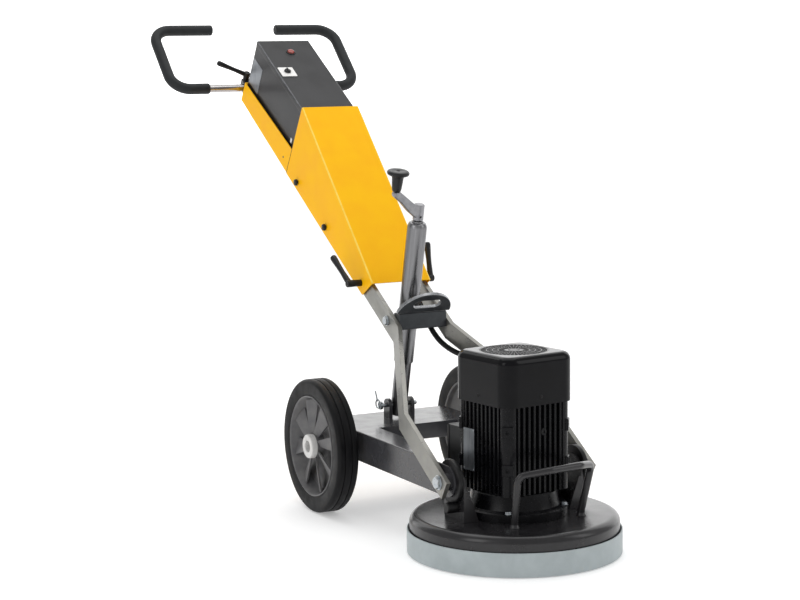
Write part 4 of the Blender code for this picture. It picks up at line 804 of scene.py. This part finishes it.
# %% Pivot
PIVOT = Vector((0.600, 0.0, 0.164))
SIDES = (("right", -1.0), ("left", 1.0))
bush_profile = [(0.0083, 0.1545), (0.0200, 0.1547), (0.0425, 0.1547), (0.0450, 0.1537), (0.0460, 0.1515)]
bush_profile += [(0.0460, 0.1465), (0.0450, 0.1443), (0.0425, 0.1433), (0.0083, 0.1433)]
bushes = copies(turned("bush", bush_profile, HERE, 72, True),
                [("bush_" + word, across(PIVOT, sign)) for word, sign in SIDES])
shank = [(0.0, 0.1800), (0.0078, 0.1800), (0.0078, 0.1318), (0.0070, 0.1310), (0.0, 0.1310)]
bolt = settle(hex_bolt("pivot_bolt_head", 0.0135, 0.0078, 0.0155), Matrix.Translation((0, 0, 0.1793)))
bolts = copies(join([bolt, turned("shank", shank, HERE, 40)]),
               [("pivot_bolt_head_" + word, across(PIVOT, sign)) for word, sign in SIDES])
stop_profile = [(0.0, 0.0250), (0.0090, 0.0250), (0.0112, 0.0232), (0.0118, 0.0200), (0.0118, 0.0),
                (0.0, 0.0)]
stops = copies(turned("stop_buffer", stop_profile, HERE, 40), [
    ("stop_buffer_" + word, across(DISC + Vector((0.012, sign * 0.1436, 0.112)),
                                   sign)) for word, sign in SIDES])
for (word, sign), bush, bolt, stop in zip(SIDES, bushes, bolts, stops):
    mount(refined("pivot_bracket_" + word, 0.0008, 2), hood_coat, "head", "charcoal", "pivot_bracket_" + word)
    mount(bush, bush_rubber, "head", "rubber", "pivot_bush_" + word)
    mount(bolt, zinc_plate, "head", "zinc", "pivot_bolt_" + word)
    mount(stop, bush_rubber, "head", "rubber")
print("pivot axis", tuple(round(v, 3) for v in PIVOT))

# %% [markdown]
# **The disc** turns under the hood and shows only from below. Its cast plate has a stepped rim and
# a ring of screws that hold the diamond segments.

# %% Grinding plate
disc_profile = [(0.020, 0.0243), (0.070, 0.0243), (0.075, 0.0225), (0.185, 0.0225), (0.1935, 0.0215)]
disc_profile += [(0.195, 0.0200), (0.195, 0.0135), (0.1938, 0.0123), (0.020, 0.0123)]
disc = turned("cast_disc", disc_profile, MOTOR, 128, True)
mount(disc, cast_iron, "rotor", "cast_iron", "grinding_plate")
from_below = Matrix.Translation((0.150, 0, 0.0122)) @ Matrix.Rotation(math.pi, 4, "X")
for screw in copies(socket_screw("disc_screw", 0.0060, 0.0030), [
        (f"disc_screw_{i + 1}", MOTOR @ Matrix.Rotation(math.radians(60.0 * i + 30.0), 4, "Z") @ from_below)
        for i in range(6)]):
    mount(screw, zinc_plate, "rotor", "cast_iron")
print("disc", len(disc.data.polygons), "faces and 6 screws")

# %% [markdown]
# **The fork** is two flat bars folded inwards, a crossbar, and a lifting plate that leans forwards
# with a hand slot. Plate edges get a small bevel, because a cut edge catches light as a thin line.

# %% Fork
for word, sign in SIDES:
    mount(refined("fork_arm_" + word, 0.0009, 2), arm_paint, "fork", "arm_grey", "fork_arm_" + word)
mount(refined("crossbar", 0.0010, 2), bar_paint, "fork", "crossbar_grey", "crossbar")

LIFT_TILT = math.radians(46.0)
LIFT_HALF = 0.066
LIFT_HEIGHT = 0.060
lift_up = Vector((math.cos(LIFT_TILT), 0.0, math.sin(LIFT_TILT)))
lift_away = Vector((-math.sin(LIFT_TILT), 0.0, math.cos(LIFT_TILT)))
lift_foot = DISC + Vector((-0.402 - 0.004 * math.sin(LIFT_TILT), 0.0, 0.4558))
lift_foot += lift_up * (0.004 / math.tan(LIFT_TILT))
dee = [(x, y * LIFT_HEIGHT / LIFT_HALF) for x, y in arc((0.0, 0.0), LIFT_HALF, 0.0, 180.0, 48)]
lift_place = basis(lift_foot, Vector((0, -1, 0)), lift_up, lift_away)
lift = plate("lift_plate", dee, 0.008, lift_place)
middle = LIFT_HEIGHT * 0.46
slot_line = arc((0.0215, middle), 0.0125, -90.0, 90.0, 12) + arc((-0.0215, middle), 0.0125, 90.0, 270.0, 12)
lift = ease(carve(lift, plate("slot", slot_line, 0.03, lift_place)), 0.0012, 3)
mount(lift, bar_paint, "fork", "crossbar_grey", "lifting_plate")
# The plate's cut edges get the bright grey, a painted highlight.
paint_highlight_faces(lift, plate_edge_highlight, lambda way, area: abs(way.dot(lift_away)) < 0.9)

SLOPE = math.radians(31.6)
UP_LINE = Vector((-math.cos(SLOPE), 0.0, math.sin(SLOPE)))
OUT_LINE = Vector((math.sin(SLOPE), 0.0, math.cos(SLOPE)))
COLUMN = basis(PIVOT, UP_LINE, Vector((0, -1, 0)), OUT_LINE)
TRUNNION = PIVOT + UP_LINE * 0.5201
bolt = settle(hex_bolt("trunnion_head", 0.0100, 0.0065, 0.0115), Matrix.Translation((0, 0, 0.0708)))
shank = [(0.0, 0.0715), (0.0058, 0.0715), (0.0058, -0.0725), (0.0050, -0.0735), (0.0, -0.0735)]
trunnion = settle(join([bolt, turned("shank", shank, HERE, 40)]), across(TRUNNION, -1.0))
mount(trunnion, zinc_plate, "fork", "zinc", "trunnion_bolt")
print("column leans", round(math.degrees(SLOPE), 1), "degrees from level")

# %% [markdown]
# ** The motor cable** leaves the column's open foot, passes behind the spindle's sleeve and under
# the crossbar, and goes into the gland. It crosses the head's pivot.

# %% Motor cable
def smooth_route(route, steps):
    """Points along a smooth curve through the route's own points."""
    route = [Vector(p) for p in route]
    padded = [2 * route[0] - route[1]] + route + [2 * route[-1] - route[-2]]
    curve = []
    for a, b, c, d in zip(padded, padded[1:], padded[2:], padded[3:]):
        for i in range(steps):
            t = i / steps
            curve.append(0.5 * (2 * b + (c - a) * t + (2 * a - 5 * b + 4 * c - d) * t ** 2
                                + (3 * b - a - 3 * c + d) * t ** 3))
    curve.append(route[-1])
    return curve


gland_point = gland_place @ Vector((0.0, 0.0, 0.0228))
cable_route = [COLUMN @ Vector((0.660, -0.040, 0.012))]
cable_mid = [(-0.500, 0.042, 0.464), (-0.466, 0.044, 0.430), (-0.444, 0.046, 0.405), (-0.410, 0.052, 0.381)]
cable_mid += [(-0.366, 0.064, 0.364), (-0.318, 0.076, 0.360), (-0.262, 0.072, 0.358), (-0.208, 0.050, 0.354)]
cable_mid += [(-0.158, 0.022, 0.342)]
cable_route += [DISC + Vector(p) for p in cable_mid]
cable_route += [gland_point + Vector((-0.006, 0.002, 0.030)), gland_point]
cable = bar("power_cable", smooth_route(cable_route, 10), 0.0062, sides=6)
cable.data.materials.clear()
cable.data.materials.append(cable_sheath)
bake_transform(cable)
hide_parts("motor_cable")

# %% [markdown]
# ** The levelling spindle** is a steel tube on a cross sleeve. A crank on its top turns a screw, and
# the inner tube pushes the chassis down. The tube's turned-in top and its collar are turned in one
# profile with it, and the crank is a turned hub joined to a bevelled arm.

# %% Levelling spindle
SPIN_UP = Vector((math.sin(SPINDLE_TILT), 0.0, math.cos(SPINDLE_TILT)))
SPIN_FRONT = Vector((math.cos(SPINDLE_TILT), 0.0, -math.sin(SPINDLE_TILT)))
SPINDLE = TRUNNION - SPIN_FRONT * 0.0315
SPIN = basis(SPINDLE, SPIN_FRONT, Vector((0, 1, 0)), SPIN_UP)
tube_profile = [(0.0095, 0.2213), (0.0120, 0.2213), (0.0127, 0.2205), (0.0127, 0.2178), (0.0168, 0.2176)]
tube_profile += [(0.0187, 0.2163), (0.0200, 0.2140), (0.0214, 0.2105), (0.0222, 0.2070), (0.0222, -0.1145)]
tube_profile += [(0.0214, -0.1155), (0.0196, -0.1155), (0.0194, -0.1145), (0.0194, 0.2065), (0.0095, 0.2065)]
outer_tube = turned("outer_tube", tube_profile, SPIN, 96, True)
sleeve_profile = [(0.0095, 0.0600), (0.0100, 0.0594), (0.0100, -0.0594), (0.0095, -0.0600), (0.0061, -0.0600)]
sleeve = turned("sleeve", sleeve_profile + [(0.0061, 0.0600)], across(TRUNNION, 1.0), 48, True)
mount(join([outer_tube, sleeve]), drawn_tube, "spindle_guide", "steel", "spindle_outer_tube")
mount(refined("spindle_inner_tube", 0.0004, 2), drawn_tube, "spindle_slider", "steel", "spindle_inner_tube")

HUB_LOW = 0.2230
HUB_HIGH = 0.2600
hub_profile = [(0.0, HUB_HIGH), (0.0108, HUB_HIGH), (0.0120, HUB_HIGH - 0.0012), (0.0120, HUB_LOW + 0.0012)]
hub_profile += [(0.0108, HUB_LOW), (0.0068, HUB_LOW), (0.0068, HUB_LOW + 0.020), (0.0, HUB_LOW + 0.020)]
crank_hub = turned("crank_hub", hub_profile, SPIN, 56)
CRANK_END = 0.0610
arm_side = [(0.004, 0.2290), (0.012, 0.2310), (0.030, 0.2455), (0.050, 0.2665), (CRANK_END + 0.004, 0.2780)]
arm_side += [(CRANK_END + 0.0075, 0.2815), (CRANK_END + 0.0075, 0.2895), (CRANK_END + 0.004, 0.2915)]
arm_side += [(CRANK_END - 0.008, 0.2915), (0.012, 0.2600), (0.004, 0.2600)]
crank_bar = plate("crank_bar", arm_side, 0.0170, basis(SPINDLE, Vector((0, -1, 0)), SPIN_UP, -SPIN_FRONT))
crank_bar = ease(crank_bar, 0.0032, 5)
crank = join([crank_hub, crank_bar])
grub = settle(socket_screw("grub", 0.0026, 0.0006),
              SPIN @ basis((0.0118, 0.0, 0.2330), (0, 1, 0), (0, 0, 1), (1, 0, 0)))
mount(crank, cast_handle, "crank", "zinc", "crank_arm")
mount(grub, dark_hole, "crank", "zinc")

KNOB = SPIN @ Matrix.Translation((0.0, -CRANK_END, 0.0))
knob_profile = [(0.0, 0.3372), (0.0030, 0.3372), (0.0036, 0.3388), (0.0060, 0.3402), (0.0195, 0.3402)]
knob_profile += arc((0.0200, 0.3350), 0.0050, 80.0, -60.0, 9)
knob_profile += [(0.0170, 0.3292), (0.0140, 0.3272), (0.0128, 0.3225), (0.0124, 0.3150), (0.0108, 0.2990)]
knob_profile += [(0.0100, 0.2945), (0.0088, 0.2928), (0.0, 0.2928)]
knob = turned("knob_grip", knob_profile, KNOB, 72)
mount(knob, black_nylon, "crank_handle", "black_plastic", "crank_knob")
print("crank reaches", CRANK_END, "to the knob's axis")

# %% [markdown]
# **The chassis** is folded sheet with a rear cross member, two side arms and a clevis for the
# spindle. It keeps the CAD's shape with its outer folds rounded. The clevis pin is held by a spring
# linch pin, a ring of round wire.

# %% Chassis
def chassis_fold(a, b):
    """Top outer folds: edges that run along the machine at the top of each flange."""
    on_top = abs(a.z - 0.197) < 0.0004 and abs(b.z - 0.197) < 0.0004
    outside = abs(abs(a.y) - 0.159) < 0.0004 and abs(abs(b.y) - 0.159) < 0.0004
    return on_top and outside and abs(a.x - b.x) > 0.05


sheet = refined("chassis_frame", 0.0007, 2, chassis_fold, 0.0035)
mount(sheet, charcoal_coat, "chassis", "charcoal", "chassis_frame")
CLEVIS_W = (0.228 - SPINDLE.z) / SPIN_UP.z
CLEVIS = SPINDLE + SPIN_UP * CLEVIS_W
pin_profile = [(0.0, 0.0510), (0.0085, 0.0510), (0.0095, 0.0500), (0.0095, 0.0452), (0.0050, 0.0450)]
pin_profile += [(0.0050, -0.0428), (0.0038, -0.0440), (0.0, -0.0440)]
pin = turned("clevis_pin_body", pin_profile, across(CLEVIS, -1.0), 48)
mount(pin, zinc_plate, "chassis", "zinc", "clevis_pin")
ring_place = basis(CLEVIS + Vector((0.0, -0.0545, 0.004)), (1, 0, 0), (0, 0, 1), (0, -1, 0))
ring_line = [(x, y, 0.0) for x, y in arc((0.0, 0.0), 0.0105, -70.0, 250.0, 30)]
linch = bar("linch_ring", ring_line, 0.0016, ring_place, 4)
tail = bar("tail", [(0.0, 0.006, 0.001), (-0.004, 0.020, 0.002), (-0.009, 0.029, 0.002)], 0.0018,
           ring_place, 4)
mount(join([linch, tail]), zinc_plate, "chassis", "zinc")

AXLE = Vector((0.077, 0.0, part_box("wheel_axle")[0][2] / 2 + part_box("wheel_axle")[1][2] / 2))
axle_profile = [(0.0, 0.2216), (0.0080, 0.2216), (0.0118, 0.2205), (0.0125, 0.2195), (0.0125, -0.2195)]
axle_profile += [(0.0118, -0.2205), (0.0080, -0.2216), (0.0, -0.2216)]
mount(turned("axle_bar", axle_profile, across(AXLE, 1.0), 56), satin_steel, "chassis", "steel", "wheel_axle")
print("clevis pin at", tuple(round(v, 3) for v in CLEVIS), "and axle at", round(AXLE.z, 3), "high")

# %% [markdown]
# **The wheels** have a moulded rim like a fan, with eight slanting blades between hub and rim, and
# a solid rubber tyre with two shallow grooves. One blade is modelled: its outline is drawn,
# extruded, and its trailing edge pushed down. Copies turned about the axle make the rest.

# %% Wheels
LOW = 0.1764
HIGH = 0.2276
TYRE_RADIUS = AXLE.z


def blade():
    """One slanting blade: a wedge between hub and rim, high on one edge and low on the other."""
    outline = arc((0.0, 0.0), 0.1050, -12.5, 8.5, 6) + arc((0.0, 0.0), 0.029, 20.0, -8.0, 4)
    made = plate("blade", outline, 0.004, HERE)
    for point in made.data.vertices:
        share = math.degrees(math.atan2(point.co.y, point.co.x)) / 10.5
        reach = (math.hypot(point.co.x, point.co.y) - 0.030) / 0.0715
        point.co.z += HIGH - 0.0120 + share * (0.0025 + 0.0040 * reach) - 0.0030 * reach
    return shade(made, 25.0)


rim_profile = [(0.1143, HIGH - 0.0012), (0.1128, HIGH - 0.0002), (0.1112, HIGH - 0.0012),
               (0.1100, HIGH - 0.0040)]
rim_profile += [(0.1050, HIGH - 0.0220), (0.1000, HIGH - 0.0300), (0.0340, HIGH - 0.0300),
                (0.0290, HIGH - 0.0260)]
rim_profile += [(0.0278, HIGH - 0.0060), (0.0278, LOW + 0.0080), (0.0340, LOW + 0.0150),
                (0.0980, LOW + 0.0150)]
rim_profile += [(0.1060, LOW + 0.0120), (0.1100, LOW + 0.0020), (0.1143, LOW + 0.0012)]
blades = copies(blade(), [("blade_copy", Matrix.Rotation(math.radians(45.0 * i + 12.0), 4,
                                                         "Z")) for i in range(8)])
rim = join([turned("rim", rim_profile, HERE, 96, True)] + blades)
rims = copies(rim, [("rim_" + word, across(AXLE, sign)) for word, sign in SIDES])

hub_profile = [(0.0134, HIGH + 0.0060), (0.0150, HIGH + 0.0074), (0.0248, HIGH + 0.0074),
               (0.0266, HIGH + 0.0060)]
hub_profile += [(0.0274, HIGH + 0.0020), (0.0277, LOW + 0.0040), (0.0262, LOW + 0.0015),
                (0.0134, LOW + 0.0015)]
hubs = copies(turned("hub_bush", hub_profile, HERE, 64, True),
              [("hub_bush_" + word, across(AXLE, sign)) for word, sign in SIDES])

r = TYRE_RADIUS
half_width = (HIGH - LOW) / 2
tyre_half = [(0.1146, half_width - 0.0030), (0.1165, half_width - 0.0012), (0.1215, half_width - 0.0006)]
tyre_half += [(0.1230, half_width), (r - 0.0130, half_width - 0.0002)]
tyre_half += arc((r - 0.0085, half_width - 0.0085), 0.0085, 85.0, 8.0, 8)
tyre_half += [(r, 0.0105), (r - 0.0004, 0.0096), (r - 0.0024, 0.0092), (r - 0.0024, 0.0078),
              (r - 0.0004, 0.0074)]
tyre_half += [(r, 0.0065), (r, 0.0)]
tyre_profile = tyre_half + [(a, -b) for a, b in reversed(tyre_half[:-1])]
tyre = turned("tyre_tread", tyre_profile, Matrix.Translation((0, 0, (LOW + HIGH) / 2)), 128, True)
tyres = copies(tyre, [("tyre_tread_" + word, across(AXLE, sign)) for word, sign in SIDES])
for (word, sign), rim, hub, tyre in zip(SIDES, rims, hubs, tyres):
    mount(rim, rim_nylon, "wheel_" + word, "grey_plastic", "wheel_rim_" + word)
    mount(hub, hub_nylon, "wheel_" + word, "grey_plastic")
    mount(tyre, tyre_rubber, "wheel_" + word, "tyre", "tyre_" + word)
print("wheels stand on", round(AXLE.z - TYRE_RADIUS, 4))

# %% [markdown]
# **The column** is two folded sheets: a tray along the back and a tapering cover. The cover's long
# folds have a radius of about 3 mm, which catches the light as a pale line down the front.

# %% Column sheets
def cover_fold(a, b):
    """Outer folds between the cover's front face and its sides."""
    rows = COLUMN.inverted()
    ends = [rows @ a, rows @ b]
    on_side = all(abs(abs(p.y) - 0.0755) < 0.0004 for p in ends)
    on_front = all(abs(p.z - (0.1707 + (p.x - 1.131) * 0.2649)) < 0.0012 for p in ends)
    return on_side and on_front and abs(ends[0].x - ends[1].x) > 0.1


def tray_fold(a, b):
    """Outer folds between the tray's back and its sides."""
    rows = COLUMN.inverted()
    ends = [rows @ a, rows @ b]
    low = all(abs(p.z + 0.021) < 0.0004 for p in ends)
    on_side = all(abs(abs(p.y) - 0.0755) < 0.0004 for p in ends)
    return low and on_side and abs(ends[0].x - ends[1].x) > 0.1


for node, fold in (("column_cover", cover_fold), ("column_tray", tray_fold)):
    sheet = mount(refined(node, 0.0005, 2, fold, 0.0034), yellow_coat, "column", "yellow", node)
    # The fold faces get the paler yellow, a painted highlight along each fold.
    paint_highlight_faces(sheet, fold_highlight_coat, lambda way, area: 0.12 < abs(way.y) < 0.98 and area > 0.00005)


def on_side(along, out, sign, high):
    """Placement on the column's side with Z pointing out of the sheet."""
    return basis(COLUMN @ Vector((along, -sign * out, high)), UP_LINE, OUT_LINE * -sign, (0, sign, 0))


# A thin black strip along each seam between tray and cover is painted shadow: it stands for the dark gap
# between the two sheets.
seam = shade(plate("seam_shadow_strip", [(-0.0008, -0.0195), (0.0008, -0.0195), (0.0008, 0.067), (-0.0008, 0.067)],
                   0.0006, HERE))
for seam in copies(seam, [
        ("seam_shadow_strip_" + word, COLUMN @ basis((1.1313, -sign * 0.0755, 0.0), (1, 0, 0), (0, 0, 1),
                                              (0, -1, 0)))
        for word, sign in SIDES]):
    mount(seam, bush_rubber, "column", "rubber")
plug = turned("tray_plug", [(0.0, 0.0002), (0.0028, 0.0002), (0.0028, -0.0006), (0.0, -0.0006)], HERE, 24)
knob_profile = [(0.0, 0.0085), (0.0052, 0.0085), (0.0072, 0.0075), (0.0080, 0.0055), (0.0080, 0.0030)]
cover_knob = turned("cover_knob", knob_profile + [(0.0055, 0.0020), (0.0055, 0.0), (0.0, 0.0)], HERE, 32)
small = copies(plug, [("tray_plug_" + word, on_side(1.166, 0.0755, sign, 0.003)) for word, sign in SIDES])
small += copies(cover_knob, [
    (f"cover_knob_{word}_{i + 1}", on_side(along, 0.0757, sign, -0.002))
    for word, sign in SIDES for i, along in enumerate((1.064, 0.879))])
for piece in small:
    mount(piece, black_nylon, "column", "black_plastic")
print("small pieces on the column's sides", len(small) + 2)

# %% [markdown]
# A small wire strap stands off the column's back. What it holds isn't known, so it is a plain loop.

# %% Cable strap
strap_line = [COLUMN @ Vector((0.780 - 0.020 * math.cos(t), 0.045, -0.0215 - 0.0085 * math.sin(t)))
              for t in [math.pi * i / 14 for i in range(15)]]
strap = mount(bar("cable_strap", strap_line, 0.0016, sides=3), zinc_plate, "column", "zinc")
print("strap", len(strap.data.polygons), "faces")

# %% [markdown]
# **The control box** stands in the tray under a lid with turned-down lips. On the lid are a white
# switch plate with a small rotary knob and a red push button in a collar.

# %% Control box, switch and button
mount(refined("control_box", 0.0012, 3), box_coat, "column", "charcoal", "control_box")
lid = mount(refined("control_box_lid", 0.0020, 3), box_coat, "column", "charcoal", "control_box_lid")
# The lid's folded edges get the paler grey, a painted highlight.
paint_highlight_faces(lid, lid_fold_highlight, lambda way, area: way.dot(OUT_LINE) > 0.12 and way.dot(OUT_LINE) < 0.98)
mount(refined("bar_clamp", 0.0006, 2), charcoal_coat, "column", "charcoal", "bar_clamp")
LID_TOP = 0.161
LID = COLUMN @ Matrix.Translation((0, 0, LID_TOP))
square = arc((0.0175, 0.0175), 0.0025, 0.0, 90.0, 4) + arc((-0.0175, 0.0175), 0.0025, 90.0, 180.0, 4)
square += arc((-0.0175, -0.0175), 0.0025, 180.0, 270.0, 4) + arc((0.0175, -0.0175), 0.0025, 270.0, 360.0, 4)
switch_plate = plate("switch_plate", square, 0.0018, LID @ Matrix.Translation((1.303, 0.045, 0.0011)))
clear = turned("clear", [(0.0, 0.01), (0.0050, 0.01), (0.0050, -0.01), (0.0, -0.01)],
               LID @ Matrix.Translation((1.303, 0.045, 0.0)), 24)
mount(ease(carve(switch_plate, clear), 0.0005, 3), white_plastic, "column", "charcoal")
knob_place = LID @ Matrix.Translation((1.303, 0.045, 0.0))
dial = [(0.0, 0.0070), (0.0066, 0.0070), (0.0076, 0.0064), (0.0080, 0.0055), (0.0083, 0.0042),
        (0.0083, 0.0030)]
dial += [(0.0040, 0.0028), (0.0040, -0.0110), (0.0, -0.0110)]
dial = turned("dial", dial, knob_place, 40)
grip_bar = plate("grip_bar", [(-0.0076, -0.0017), (0.0076, -0.0017), (0.0076, 0.0017), (-0.0076, 0.0017)],
                 0.0040,
                 knob_place @ Matrix.Translation((0, 0, 0.0075)))
mount(join([dial, ease(grip_bar, 0.0006, 2)]), black_nylon, "switch", "black_plastic", "switch_knob")

button_place = LID @ Matrix.Translation((1.3955, 0.0, 0.0))
button_profile = [(0.0, 0.0050), (0.0055, 0.0049), (0.0078, 0.0044), (0.0086, 0.0034), (0.0088, 0.0020)]
button_profile += [(0.0088, -0.0100), (0.0, -0.0100)]
mount(turned("button_cap", button_profile, button_place, 48), red_lens, "button", "red_plastic",
      "start_button")
collar = [(0.0097, 0.0003), (0.0097, 0.0016), (0.0103, 0.0022), (0.0118, 0.0018), (0.0128, 0.0003)]
mount(turned("button_collar", collar, button_place, 56, True), black_nylon, "column", "black_plastic")

label_place = basis(COLUMN @ Vector((1.4210, 0.0683, 0.0760)), UP_LINE, OUT_LINE * 1.0, Vector((0, -1, 0)))
label = plate("blank_label", [(-0.030, -0.036), (0.030, -0.036), (0.030, 0.036), (-0.030, 0.036)], 0.0004,
              label_place)
mount(shade(label), foil, "column", "charcoal")
tab_place = basis(COLUMN @ Vector((1.1590, 0.0684, 0.0560)), UP_LINE, OUT_LINE * 1.0, Vector((0, -1, 0)))
tab = plate("white_tab", [(-0.004, -0.006), (0.004, -0.006), (0.004, 0.006), (-0.004, 0.006)], 0.0006,
            tab_place)
mount(shade(tab), white_plastic, "column", "charcoal")
print("lid top stands", LID_TOP, "from the column's axis")

# %% [markdown]
# ** Clamp levers** hold the column at its foot and the handlebar in its block. Each has a hub, a
# tapered arm with a thicker tip and a stud, which is steel on the real lever. The screw in the hub's
# face is drawn as a shallow recess.

# %% Clamp levers
LEVER_LENGTH = 0.088


def lever_parts(stud_in, hub_in, hub_top, stud_radius, stout):
    """A lever's hub and stud, and its arm, both along Z at the origin."""
    hub = [(0.0, hub_top - 0.0012), (0.0036, hub_top - 0.0012), (0.0042, hub_top), (0.0072, hub_top)]
    hub += [(0.0083, hub_top - 0.0012), (0.0085, hub_top - 0.0040), (0.0076, hub_in + 0.0020),
            (0.0076, hub_in)]
    hub += [(stud_radius, hub_in), (stud_radius, stud_in + 0.0005), (stud_radius - 0.0006, stud_in),
            (0.0, stud_in)]
    tip = LEVER_LENGTH
    arm = [(0.0, tip), (0.0030, tip - 0.0003), (0.0052, tip - 0.0018), (0.0061, tip - 0.0055)]
    arm += [(0.0060, tip - 0.0120), (0.0050, tip * 0.62), (0.0047, tip * 0.40), (0.0056, 0.0060)]
    arm += [(0.0062, 0.0), (0.0, 0.0)]
    return turned("hub", hub, HERE, 48), turned("arm", [(r * stout, h) for r, h in arm], HERE, 32)


def lever(name, parts, axis, hub_top, run, body, node):
    """Copies of a hub and an arm, joined with the arm along its own direction."""
    run = run.normalized()
    beside = run.orthogonal().normalized()
    along = basis(axis @ Vector((0.0, 0.0, hub_top - 0.0070)), beside, run.cross(beside), run)
    made = join([copy_of(parts[0], name, axis), copy_of(parts[1], "arm_copy", along)])
    return mount(made, black_nylon, body, "black_plastic", node)


STUD = PIVOT + UP_LINE * 0.660
column_parts = lever_parts(0.0615, 0.0758, 0.1118, 0.0058, 1.28)
for (word, sign), lean in zip(SIDES, (9.0, 34.0)):
    lean = math.radians(lean)
    run = UP_LINE * math.cos(lean) + OUT_LINE * math.sin(lean) + Vector((0.0, sign * 0.12, 0.0))
    lever("lever_" + word, column_parts, across(STUD, sign), 0.1118, run, "lever_" + word,
          "column_lever_" + word)
bar_parts = lever_parts(0.0040, 0.0183, 0.0403, 0.0030, 1.12)
bar_axis = COLUMN @ Matrix.Translation((1.4945, 0.0575, 0.0))
rise = math.radians(20.0)
run = Vector((0.0, -math.cos(rise), 0.0)) + OUT_LINE * math.sin(rise) + UP_LINE * 0.15
lever("lever_bar", bar_parts, bar_axis, 0.0403, run, "lever_bar", "bar_lever")
for part in column_parts + bar_parts:
    bpy.data.objects.remove(part, do_unlink=True)
print("levers are", LEVER_LENGTH, "long")

# %% [markdown]
# **The handlebar** is one bent steel tube with a foam sleeve pushed over each loop. The sleeve
# follows the tube's path with a larger radius and soft ends. Only the tube's straight middle is
# modelled here, because the sleeves are solid and hide the rest.

# %% Handlebar and grips
BAR = COLUMN @ Vector((1.480, 0.0, 0.003))
LOOP = math.radians(44.6)
loop_rise = Vector((-math.cos(LOOP), 0.0, math.sin(LOOP))) * 0.2107
BAR_HALF = 0.256


def half_loop(sign, start):
    out = Vector((0.0, sign * BAR_HALF, 0.0))
    end = Vector((0.0, sign * 0.0905, 0.0)) + loop_rise
    return [Vector((0.0, sign * start, 0.0)), out, out + loop_rise, end]


BEND = 0.047
GRIP_RADIUS = 0.0137
TUBE_RADIUS = 0.0100
for word, sign in SIDES:
    grip = bar("foam_grip_" + word, round_corners(half_loop(sign, 0.160), BEND, 14), GRIP_RADIUS,
               Matrix.Translation(BAR), 10, 0.0035)
    mount(grip, grip_foam, "handlebar", "foam", "grip_" + word)
straight = [Vector((0.0, -0.170, 0.0)), Vector((0.0, 0.170, 0.0))]
tube = bar("bent_tube", straight, TUBE_RADIUS, Matrix.Translation(BAR), 10)
mount(tube, bar_tube, "handlebar", "steel", "handlebar_tube")
print("handlebar half width", BAR_HALF, "and grip radius", GRIP_RADIUS)

# %% [markdown]
# **The studio** is a pale floor, a white backdrop, a soft light overhead and two at the sides. The
# world is a plain soft white that fills the shadows, and floor and backdrop glow faintly so that
# they stay white behind the machine.

# %% Floor and lights
deselect()
bpy.ops.mesh.primitive_grid_add(x_subdivisions=2, y_subdivisions=2, size=80.0, location=(0.0, 0.0, 0.0))
floor = bpy.context.object
floor.name = "studio_floor"
floor_paint = surface("pale studio floor", ("#F4F4F4", "#F7F7F7"), 900, (0.75, 0.85), 30.0, 0.001)
floor_shader = floor_paint.node_tree.nodes["Principled BSDF"]
floor_shader.inputs["Emission Color"].default_value = (1.0, 1.0, 1.0, 1.0)
floor_shader.inputs["Emission Strength"].default_value = 0.30
floor.data.materials.append(floor_paint)
bpy.ops.mesh.primitive_grid_add(x_subdivisions=2, y_subdivisions=2, size=60.0, location=(-22.0, 11.3, 0.0),
                                rotation=(0.0, math.radians(90.0), math.radians(-27.0)))
backdrop = bpy.context.object
backdrop.name = "studio_backdrop"
backdrop_paint = surface("white backdrop paper", ("#FAFAFA", "#FDFDFD"), 900, (0.8, 0.9), 30.0, 0.001)
backdrop_shader = backdrop_paint.node_tree.nodes["Principled BSDF"]
backdrop_shader.inputs["Emission Color"].default_value = (1.0, 1.0, 1.0, 1.0)
backdrop_shader.inputs["Emission Strength"].default_value = 0.9
backdrop.data.materials.append(backdrop_paint)

world = bpy.data.worlds.new("studio")
bpy.context.scene.world = world
world.use_nodes = True
sky = world.node_tree.nodes["Background"]
sky.inputs["Color"].default_value = (1.0, 1.0, 1.0, 1.0)
sky.inputs["Strength"].default_value = 0.55


def soft_light(name, place, aim, size, power):
    lamp = bpy.data.lights.new(name, "AREA")
    lamp.shape = "RECTANGLE"
    lamp.size, lamp.size_y = size
    lamp.energy = power
    made = bpy.data.objects.new(name, lamp)
    bpy.context.scene.collection.objects.link(made)
    made.location = place
    made.rotation_euler = (Vector(aim) - Vector(place)).to_track_quat("-Z", "Y").to_euler()


soft_light("overhead", (-0.3, 0.2, 3.2), (0.0, 0.0, 0.4), (3.0, 2.4), 34.0)
soft_light("right_side", (1.6, -3.4, 1.9), (0.2, 0.0, 0.5), (1.4, 2.2), 20.0)
soft_light("left_side", (2.6, 2.8, 2.2), (0.3, 0.0, 0.5), (1.2, 2.4), 14.0)
bpy.context.scene.view_settings.view_transform = "Standard"
print("lights", len(bpy.data.lights))
